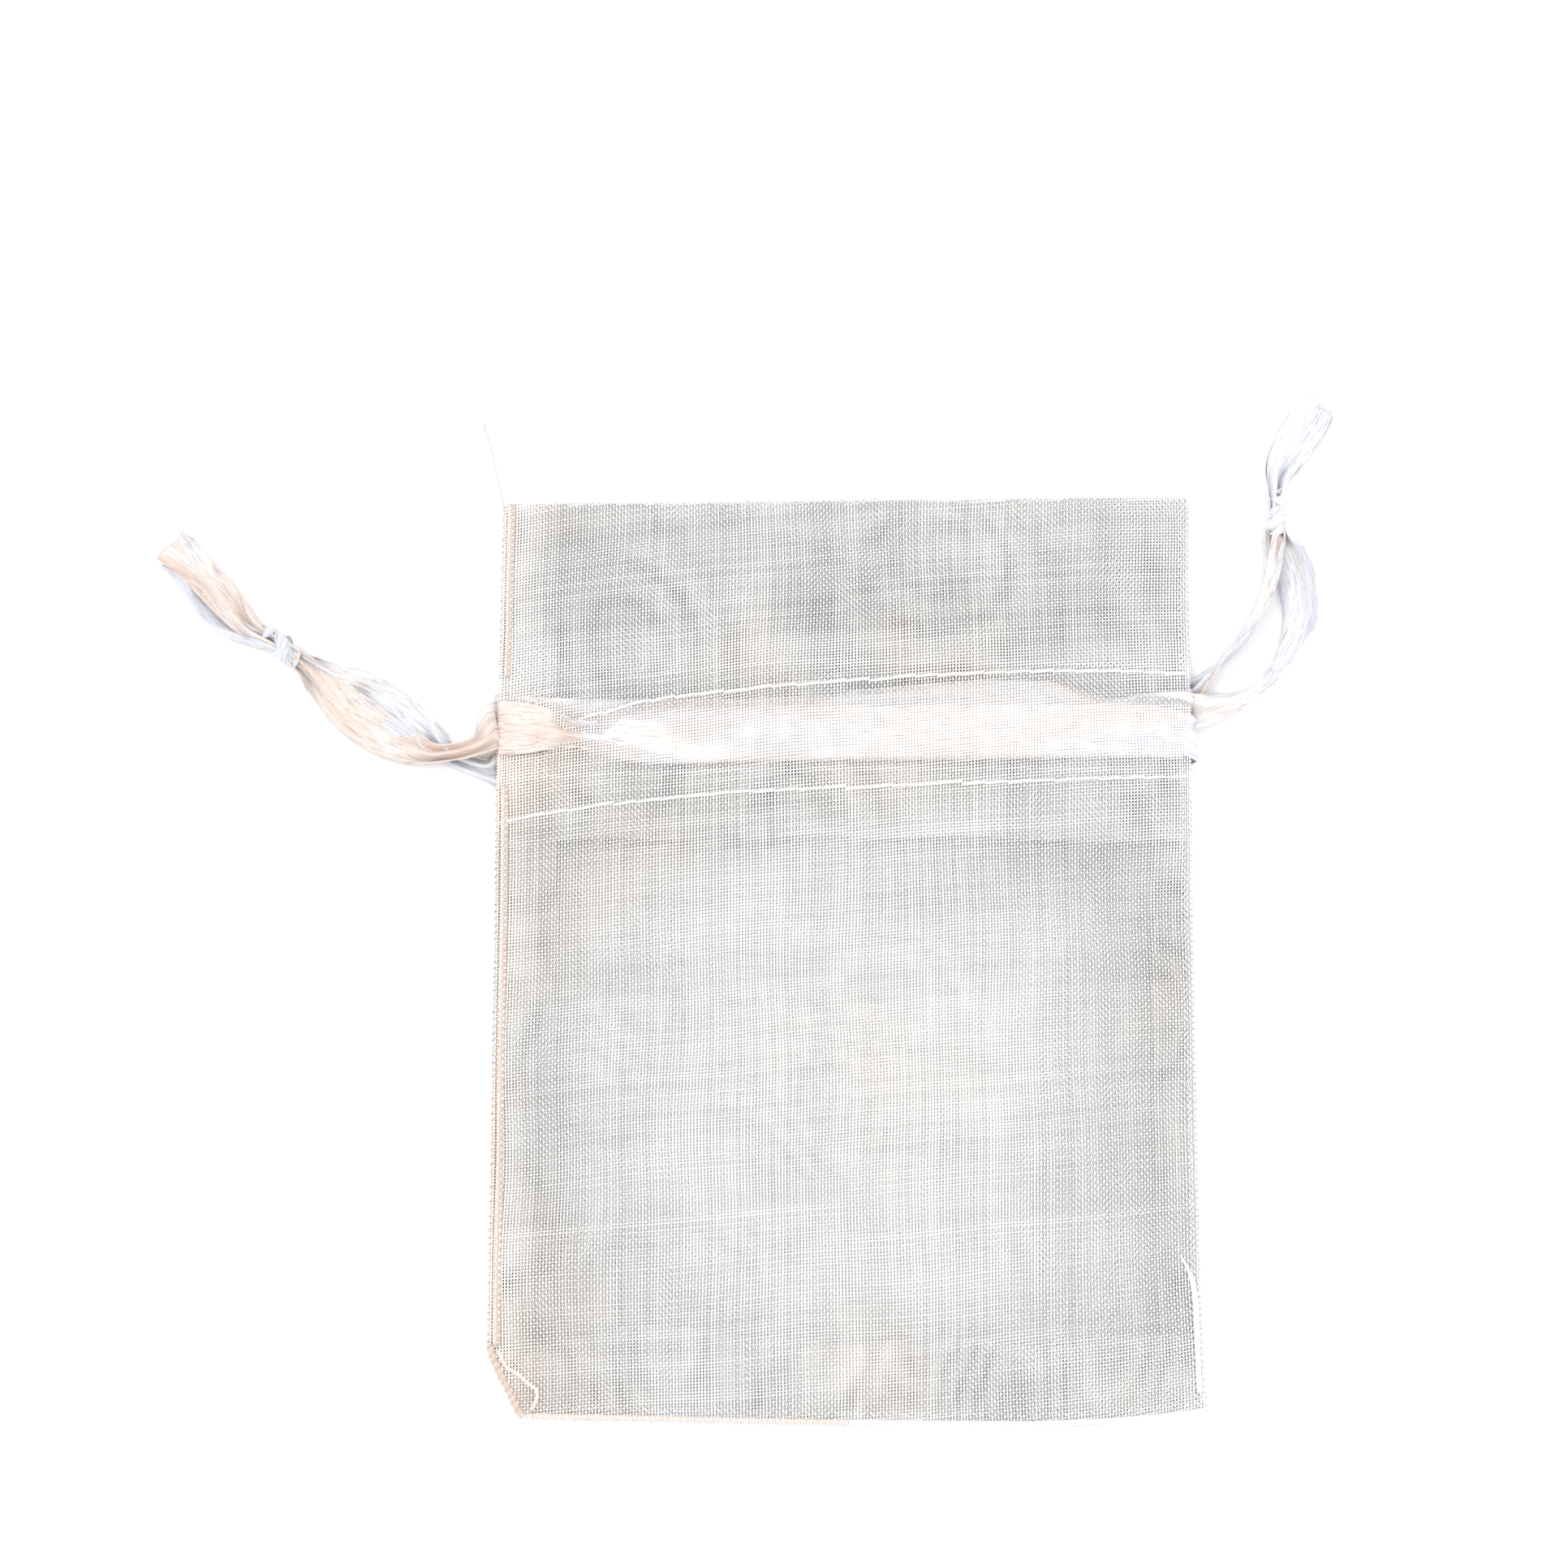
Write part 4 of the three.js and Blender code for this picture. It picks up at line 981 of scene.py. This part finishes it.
# =====================================================================================
# cloth
# =====================================================================================
# the back panel and the hems are slightly darker copies of the front panel's organza: painted shade on the layers under
# it; the copy for the turned-in allowances is warmer, with lighter under-threads
panel_mat = organza("organza_panel", rgb((253, 253, 252)), rgb((150, 153, 157)), warm=0.7, level=1.0)
front_mat = organza("organza_front", rgb((255, 255, 254)), rgb((158, 160, 162)), warm=0.7, level=1.0, outer=True)
hem_mat = organza("organza_hem", rgb((253, 253, 252)), rgb((150, 152, 155)), warm=0.7, level=1.0)
fold_mat = organza("organza_fold", rgb((255, 254, 252)), rgb((186, 181, 177)), warm=0.9, level=1.0)


def mouth_back(x):
    """The front of the mouth sits a little higher off the table, so it is drawn back as far as the back edge shows."""
    return 1.25 * arch(x)


def allowance_z(share, under=0.24):
    def f(x, y):
        low = back_hem(x, y) + 0.22
        high = front_hem(x, y) - under
        return low + (high - low) * share
    return f


def wavy_top(x):
    return np.interp(x, [-38.0, -34.8, -28.0, -22.8, -17.0, -12.5, 0.0, 17.5, 30.0, 36.5, 38.0],
                     [-43.0, -43.0, -41.2, -39.9, -40.3, -41.2, -41.6, -41.9, -41.5, -41.1, -41.0])


for side, word in ((-1, "left"), (1, "right")):
    ob = woven("back_panel_" + word, side, back_panel_z, -49.8, 50.0, seed=31, amount=0.34, warp_seg=4.2, weft_seg=3.8, skew=-0.095, pitch=0.343)
    finish_cloth(ob, side, panel_mat, ["back_panel"])
    ob = woven("back_hem_" + word, side, back_hem, HEM_Y, 49.8, seed=41, amount=0.30, warp_seg=3.2, weft_seg=3.8, skew=-0.10, pitch=0.340)
    finish_cloth(ob, side, hem_mat, ["back_hem_facing"])
    ob = woven("front_hem_" + word, side, front_hem, HEM_Y, 49.8, seed=51, amount=0.26, warp_seg=2.4, weft_seg=1.7, skew=0.07, pitch=0.331,
               high=lambda x: 49.8 - mouth_back(x))
    finish_cloth(ob, side, hem_mat, ["front_hem_facing"])
    ob = woven("front_panel_" + word, side, front_top, -49.8, 50.0, seed=61, amount=0.16, warp_seg=2.6, weft_seg=1.5, skew=0.095,
               high=lambda x: 50.0 - mouth_back(x))
    finish_cloth(ob, side, front_mat, ["front_panel"])
    # the seam allowances, turned inside: one layer of each panel
    inner = 31.0 if side < 0 else 33.7
    both = Soup()
    for k, (share, more) in enumerate(((0.80, 0.0), (0.45, 0.5))):
        woven("", side, allowance_z(share), -49.2, 49.5, x_in=inner + more, x_out=38.0, seed=71 + k, amount=0.3, warp_seg=3.2, weft_seg=1.4, skew=(0.05, -0.05)[k], pitch=(0.340, 0.332)[k],
              high=lambda x: 49.5 - mouth_back(x), into=both)
    ob = both.object(word + "_side_allowances", smooth=False)
    finish_cloth(ob, side, fold_mat, [word + "_seam_allowance"])
    both = Soup()
    for k, (share, down) in enumerate(((0.90, 0.0), (0.30, 0.9))):
        woven("", side, allowance_z(share), -49.7, -39.5 - down, seed=81 + k, amount=0.36, warp_seg=2.2, weft_seg=1.9, skew=(0.04, -0.05)[k], pitch=(0.341, 0.333)[k],
              high=lambda x, d=down: wavy_top(x) - d, into=both)
    ob = both.object("bottom_allowances_" + word, smooth=False)
    finish_cloth(ob, side, fold_mat, ["bottom_seam_allowance"])


# =====================================================================================
# seams, stitching and the loose thread
# =====================================================================================
def seam_cloth(name, light, dark):
    """Organza rolled into a narrow edge: many layers, their threads close together."""
    m, nt, p = new_material(name)
    uv = node(nt, "ShaderNodeUVMap", uv_map="weave")
    tex = node(nt, "ShaderNodeTexCoord")
    mp = node(nt, "ShaderNodeMapping")
    mp.inputs["Scale"].default_value = (3.0, 1.0 / PITCH, 1.0)
    nt.links.new(uv.outputs["UV"], mp.inputs["Vector"])
    wave = node(nt, "ShaderNodeTexWave", wave_type="BANDS", bands_direction="Y")
    wave.inputs["Scale"].default_value = 0.16
    wave.inputs["Distortion"].default_value = 2.2
    wave.inputs["Detail"].default_value = 2.0
    nt.links.new(mp.outputs[0], wave.inputs["Vector"])
    cloud = noise(nt, tex.outputs["Object"], 700.0, 3.0, 0.6)
    f = maths(nt, "ADD", maths(nt, "MULTIPLY", wave.outputs["Fac"], 0.45), maths(nt, "MULTIPLY_ADD", cloud, 1.1, -0.25), clamp=True)
    col = mix_colour(nt, f, dark, light)
    nt.links.new(col, p.inputs["Base Color"])
    p.inputs["Roughness"].default_value = 0.5
    p.inputs["Sheen Weight"].default_value = 0.15
    bump = node(nt, "ShaderNodeBump")
    bump.inputs["Strength"].default_value = 0.6
    bump.inputs["Distance"].default_value = 0.00006
    nt.links.new(f, bump.inputs["Height"])
    nt.links.new(bump.outputs["Normal"], p.inputs["Normal"])
    return m


# the left seam's rolled edge, the flat beside it and the left half of the bottom roll, the left overlock thread and the
# loose thread end are tan and warm copies of the white ones on the right: painted warm shade on the left side
tan_edge = seam_cloth("rolled_edge_tan", rgb((216, 198, 187)), rgb((196, 178, 166)))
white_edge = seam_cloth("rolled_edge_white", rgb((245, 246, 247)), rgb((230, 232, 234)))
warm_edge = seam_cloth("rolled_edge_warm", rgb((222, 212, 205)), rgb((206, 195, 187)))
stitch_mat = thread_material("sewing_thread_white", rgb((248, 246, 244)), rgb((230, 226, 221)))
white_overlock = thread_material("overlock_thread_white", rgb((250, 250, 250)), rgb((232, 233, 234)))
overlock_mat = thread_material("overlock_thread", rgb((215, 199, 189)), rgb((197, 180, 169)))
loose_mat = thread_material("loose_thread", rgb((238, 218, 205)), rgb((204, 180, 164)))


def finish_trim(ob, side, material, slot, *nodes):
    ob.data.materials.append(material)
    gathers(ob, side)
    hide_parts(*nodes)
    return ob


def roll(soup, path, half_w, half_h, out_dir, sides=10, wob=0.06, seed=1):
    """A rolled edge: a flattened closed tube along path (n, 3), half_w across and half_h high."""
    p = np.asarray(path, float)
    n = len(p)
    t = np.gradient(p, axis=0)
    t[:, 2] = 0
    t /= np.linalg.norm(t, axis=1)[:, None]
    up = np.array([0.0, 0.0, 1.0])
    s = np.cross(t, up)
    a = np.linspace(0, 2 * np.pi, sides, endpoint=False)
    hw = np.broadcast_to(np.asarray(half_w, float), (n,))[:, None]
    hh = np.broadcast_to(np.asarray(half_h, float), (n,))[:, None]
    length = np.concatenate([[0], np.cumsum(np.linalg.norm(np.diff(p, axis=0), axis=1))])
    bumpy = 1 + wob * (np.sin(length[:, None] * 5.1 + 2 * a[None] + seed) + 0.6 * np.sin(length[:, None] * 2.3 - a[None] + 2 * seed))
    # the faces point out
    ring = p[:, None] + (hw * bumpy * np.sin(a)[None])[..., None] * s[:, None] + (hh * bumpy * np.cos(a)[None])[..., None] * up[None, None]
    idx = np.arange(n * sides).reshape(n, sides)
    q = np.stack([idx[:-1], np.roll(idx, -1, 1)[:-1], np.roll(idx, -1, 1)[1:], idx[1:]], -1).reshape(-1, 4)
    uv = np.stack([np.broadcast_to(a / (2 * np.pi), (n, sides)), np.broadcast_to(length[:, None], (n, sides))], -1)
    base = soup.n
    soup.add(ring, q, uv)
    caps = []
    for off, flip in ((base, True), (base + (n - 1) * sides, False)):
        for j in range((sides - 2) // 2):
            quad = [off + j, off + j + 1, off + sides - 2 - j, off + sides - 1 - j]
            caps.append(quad[::-1] if flip else quad)
    soup.f.append(np.array(caps, np.int64))


def seam_z(y):
    return 0.5 * (edge_height(y) + 0.12)


def seam_line(side, y0, y1, inset, step=0.5):
    y = np.linspace(y0, y1, max(3, int(abs(y1 - y0) / step)))
    edge = left_edge(y) if side < 0 else right_edge(y)
    x = edge - side * inset * (1 if side > 0 else 1)
    _, yy = mapped(np.full_like(y, side * 38.0), y)
    return np.stack([x, yy, seam_z(y)], 1)


def loops(soup, centre_line, out, every, half_w, half_h, radius, lean=0.25, seed=1, wrap=(-0.75, 3.6)):
    """Overlock loops: thread that goes round the rolled edge, one after another. out is the outward direction in x, y."""
    p = np.asarray(centre_line, float)
    length = np.concatenate([[0], np.cumsum(np.linalg.norm(np.diff(p, axis=0), axis=1))])
    rng = np.random.default_rng(seed)
    at = np.arange(every / 2, length[-1], every) + rng.uniform(-0.07, 0.07, len(np.arange(every / 2, length[-1], every)))
    o = np.array([out[0], out[1], 0.0]); o /= np.linalg.norm(o)
    fwd = np.cross(np.array([0.0, 0.0, 1.0]), o)
    a = np.linspace(wrap[0], wrap[1], 11)
    for k in at:
        c = np.array([np.interp(k, length, p[:, j]) for j in range(3)])
        hh = half_h(c[1]) if callable(half_h) else half_h
        g = rng.uniform(0.92, 1.1)
        path = (c[None] + o[None] * (half_w * g * np.sin(a))[:, None] + np.array([0, 0, 1.0])[None] * (hh * np.cos(a))[:, None]
                + fwd[None] * (lean * (a - a.mean()) / 2)[:, None])
        soup.tube(path, radius, sides=6, v0=k)


def chain(soup, line, side_dir, amp, period, radius, rise, phase=0.0, step=0.2):
    """A looper thread that runs along the seam in small waves."""
    p, at = curve(line, step)
    o = np.array([side_dir[0], side_dir[1], 0.0])
    path = p + o[None] * (amp * np.sin(2 * np.pi * at / period + phase))[:, None]
    path[:, 2] += rise + 0.06 * np.cos(4 * np.pi * at / period)
    soup.tube(path, radius, sides=6)


GAP_LOW, GAP_HIGH = (17.5, 19.3), 29.6      # the side seams, left and right, stay open here, where the drawstrings come out
for side, word, mat in ((-1, "left", tan_edge), (1, "right", white_edge)):
    rolls, rolls_2, over = Soup(), Soup(), Soup()
    hw = 0.34 if side < 0 else 0.42
    spans = [(-42.6 if side < 0 else -49.0, GAP_LOW[side > 0]), (GAP_HIGH, 49.6)]
    for k, (y0, y1) in enumerate(spans):
        line = seam_line(side, y0, y1, hw)
        hh = np.interp(line[:, 1], [-50, 50], [1, 1]) * (0.45 * edge_height(line[:, 1]) - 0.02)
        roll(rolls, line, hw, hh, (side, 0), seed=k + 2)
        band = seam_line(side, y0, y1, 1.15 if side < 0 else 1.05)
        band[:, 2] = front_top(np.full(len(band), side * 36.9), band[:, 1])
        loops(over, line, (side, 0), 0.78 if side < 0 else 0.95, hw + 0.07, lambda y: 0.45 * float(edge_height(y)) + 0.05,
              0.085 if side < 0 else 0.075, seed=5 + k)
        rise = 0.14 if side < 0 else -0.20
        chain(over, band, (1, 0), 0.24, 1.56, 0.075, rise)
        chain(over, band, (1, 0), 0.24, 1.56, 0.075, rise, phase=np.pi)
        # the flat of the seam, where the layers are sewn down beside the rolled edge
        flat = band.copy()
        flat[:, 0] += side * 0.12
        flat[:, 2] += 0.05
        if side < 0:
            roll(rolls_2, flat, 0.36, 0.07, (side, 0), seed=k + 21, wob=0.12)
    if side > 0:      # a crease of the allowance pushed up beside the lower right seam
        crease, at = curve([[35.3, -33.2, 0], [36.2, -34.8, 0], [36.8, -37.1, 0], [36.95, -40.6, 0], [37.0, -43.5, 0], [37.1, -47.5, 0]], 0.4)
        crease[:, 2] = front_top(crease[:, 0], crease[:, 1]) + 0.08
        roll(rolls_2, crease, 0.10 + 0.20 * smooth01(0, 3.5, at), 0.10, (1, 0), seed=31, wob=0.10)
    if side < 0:      # the lower left corner is folded in, slantwise
        cz = seam_z(-46.0)
        line, _ = curve([[-38.05, -42.3, cz], [-37.6, -43.9, cz], [-36.1, -46.8, cz], [-34.9, -49.2, cz], [-34.4, -49.75, cz]], 0.4)
        line[:, 2] = np.maximum(front_top(line[:, 0] + 0.8, line[:, 1] + 0.4) - 0.22, 0.46)
        roll(rolls, line, 0.42, 0.40, (-1, 0), seed=9)
        d = np.array([-7.1, -3.6]) / 7.96
        loops(over, line, d, 0.80, 0.43, 0.45, 0.085, seed=8)
        inner_line, _ = curve([[-37.2, -42.9, 0], [-36.3, -44.6, 0], [-34.9, -45.5, 0], [-34.0, -46.3, 0], [-33.0, -47.1, 0], [-33.0, -48.1, 0], [-33.6, -49.2, 0]], 0.4)
        inner_line[:, 2] = front_top(inner_line[:, 0], inner_line[:, 1]) + 0.06
        roll(rolls_2, inner_line, 0.22, 0.09, (-1, 0), seed=12)
    finish_trim(rolls.object(word + "_seam_roll"), side, mat, "folded_organza", word + "_side_seam")
    finish_trim(rolls_2.object(word + "_seam_flat"), side, warm_edge if side < 0 else white_edge, "folded_organza", word + "_side_seam")
    finish_trim(over.object(word + "_seam_overlock"), side, overlock_mat if side < 0 else white_overlock, "overlock_thread", word + "_side_seam")

for side, word in ((-1, "left"), (1, "right")):
    x = np.linspace(-34.5, -0.0, 90) if side < 0 else np.linspace(0.0, 37.6, 96)
    xx, yy = mapped(x, np.full_like(x, -49.82))
    line = np.stack([xx, yy, np.maximum(front_top(x, np.full_like(x, -49.3)) - 0.24, 0.42)], 1)
    s_ = Soup()
    roll(s_, line, 0.32, 0.36, (0, -1), seed=4)
    finish_trim(s_.object("bottom_seam_roll_" + word), side, warm_edge if side < 0 else white_edge, "folded_organza", "bottom_seam")
    s_ = Soup()
    loops(s_, line, (0, -1), 0.95, 0.36, 0.42, 0.07, seed=14, lean=0.2)
    l2 = line + np.array([0, 0.95, 0.0]); l2[:, 2] = front_top(l2[:, 0], l2[:, 1] * 0 - 48.8)
    chain(s_, l2, (0, 1), 0.22, 1.56, 0.07, -0.18)
    finish_trim(s_.object("bottom_seam_overlock_" + word), side, white_overlock, "overlock_thread", "bottom_seam")
    # the folded edge of the mouth, where the cloth turns in to make the hem
    for part, z_of, back in (("front", lambda a, b: 0.5 * (front_top(a, b) + front_hem(a, b)), mouth_back),
                             ("back", lambda a, b: 0.5 * (back_panel_z(a, b) + back_hem(a, b)), lambda a: a * 0)):
        x = np.linspace(0.0, side * 37.7, 80)
        y = 49.9 - back(x)
        xx, yy = mapped(x, y)
        s_ = Soup()
        roll(s_, np.stack([xx, yy, z_of(x, y)], 1), 0.13, 0.15, (0, 1), sides=8, wob=0.03)
        ob = s_.object("%s_mouth_fold_%s" % (part, word))
        ob.data.materials.append(white_edge)
        gathers(ob, side)
        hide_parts(part + "_panel")


def stitch_row(name, side, pairs, z_of, node_name, radius=0.165, length=2.55, seed=1, ride_up=0.10):
    """Lockstitch: separate stitches end to end, each dipping into the cloth at its holes and slewed a little, like rope."""
    xs = np.array([q[0] for q in pairs], float)
    ys = np.array([q[1] for q in pairs], float)
    rng = np.random.default_rng(seed)
    soup = Soup()
    lo, hi = (max(xs[0], -38.0), 0.0) if side < 0 else (0.0, xs[-1])
    n = max(1, int(round((hi - lo) / length)))
    edges = np.linspace(lo, hi, n + 1)
    dense = np.linspace(xs[0], xs[-1], 200)
    yy = np.interp(dense, xs, ys)
    k = np.ones(17) / 17
    yy = np.convolve(np.pad(yy, 8, mode="reflect", reflect_type="odd"), k, "valid")
    for i in range(n):
        a, b = edges[i] - 0.04, edges[i + 1] + 0.04
        t = np.linspace(0, 1, 9)
        x = a + (b - a) * t
        skew = 0.13 + rng.uniform(-0.04, 0.04)
        y = np.interp(x, dense, yy) + skew * (t - 0.5) * 2 * 0.5 + 0.05 * rng.normal()
        dip = np.sin(np.pi * np.clip(t, 0, 1)) ** 0.35
        z = z_of(x, y) + ride_up * dip - 0.10 * (1 - dip)
        r = radius * (0.74 + 0.26 * np.sin(np.pi * np.clip(t * 0.94 + 0.03, 0, 1)) ** 0.5)
        soup.tube(np.stack([x, y, z], 1), r, sides=8, v0=a * 1.0)
    ob = soup.object(name)
    return finish_trim(ob, side, stitch_mat, "sewing_thread", node_name)


FRONT_UP = [(-37.8, 24.2), (-33.5, 23.6), (-29.1, 24.4), (-24.0, 25.9), (-17.2, 26.8), (-8, 27.6), (1.7, 28.3), (12, 29.05), (22.4, 29.6), (30, 29.8), (37.7, 29.9)]
FRONT_LOW = [(-37.7, 13.7), (-36.6, 13.9), (-31.5, 14.4), (-26.7, 14.9), (-17.2, 15.8), (-8, 16.2), (1.6, 16.6), (12, 17.0), (22.2, 17.4), (30, 17.9), (37.5, 18.3)]
BACK_UP = [(-37.8, 27.3), (-32.3, 27.8), (-26.0, 28.8), (-14.5, 29.8), (1.8, 30.2), (20, 30.4), (37.8, 30.4)]
BACK_LOW = [(-37.9, 18.1), (-23, 18.4), (-8.8, 18.5), (1.7, 18.6), (20, 18.7), (37.8, 18.8)]
for side, word in ((-1, "left"), (1, "right")):
    up = [q for q in FRONT_UP if q[0] >= -29.5]
    stitch_row("front_upper_stitches_" + word, side, up, front_top, "front_upper_stitching", seed=2)
    stitch_row("front_lower_stitches_" + word, side, FRONT_LOW, front_top, "front_lower_stitching", seed=3)
    stitch_row("back_upper_stitches_" + word, side, BACK_UP, back_hem, "back_upper_stitching", seed=4)
    stitch_row("back_lower_stitches_" + word, side, BACK_LOW, back_hem, "back_lower_stitching", seed=5)

soup = Soup()
path, at = curve([[-37.7, 47.4, 1.35], [-37.9, 49.2, 1.45], [-38.2, 50.6, 1.3], [-38.6, 52.4, 0.9], [-39.2, 54.8, 0.45], [-39.75, 57.0, 0.25],
                  [-40.15, 58.2, 0.3], [-40.35, 58.75, 0.55], [-40.1, 59.0, 0.75]], 0.25)
soup.tube(path, 0.10 + 0.03 * smooth01(at[-1] - 1.2, at[-1], at), sides=8)
finish_trim(soup.object("loose_thread_end"), -1, loose_mat, "overlock_thread", "seam_thread_end")

# =====================================================================================
# stage and light
# =====================================================================================
def plane(name, size, z):
    return make_mesh(name, [[-size, -size, z], [size, -size, z], [size, size, z], [-size, size, z]], [[0, 1, 2, 3]])


floor = plane("floor", 900.0, -0.03)
floor.data.materials.append(floor_material())


def area_light(name, at, look, size, power, colour=(1, 1, 1)):
    d = bpy.data.lights.new(name, "AREA")
    d.shape, d.size, d.energy, d.color = "DISK", size, power, colour
    o = bpy.data.objects.new(name, d)
    scene.collection.objects.link(o)
    o.location = at
    o.rotation_mode = "QUATERNION"
    o.rotation_quaternion = (Vector(look) - Vector(at)).to_track_quat("-Z", "Y")
    return o


area_light("key", (-0.45, 0.35, 0.95), (0, 0, 0), 0.7, 3.5)
area_light("fill", (0.6, -0.5, 0.8), (0, 0, 0), 0.8, 1.2, (1.0, 0.985, 0.97))
world = bpy.data.worlds.new("studio")
scene.world = world
world.use_nodes = True
bg = world.node_tree.nodes.get("Background") or world.node_tree.nodes.new("ShaderNodeBackground")
bg.inputs["Color"].default_value = (1.0, 1.0, 1.0, 1.0)
bg.inputs["Strength"].default_value = 1.24
scene.view_settings.view_transform = "Standard"
scene.view_settings.look = "None"
scene.view_settings.exposure = 0.0
scene.view_settings.gamma = 1.0
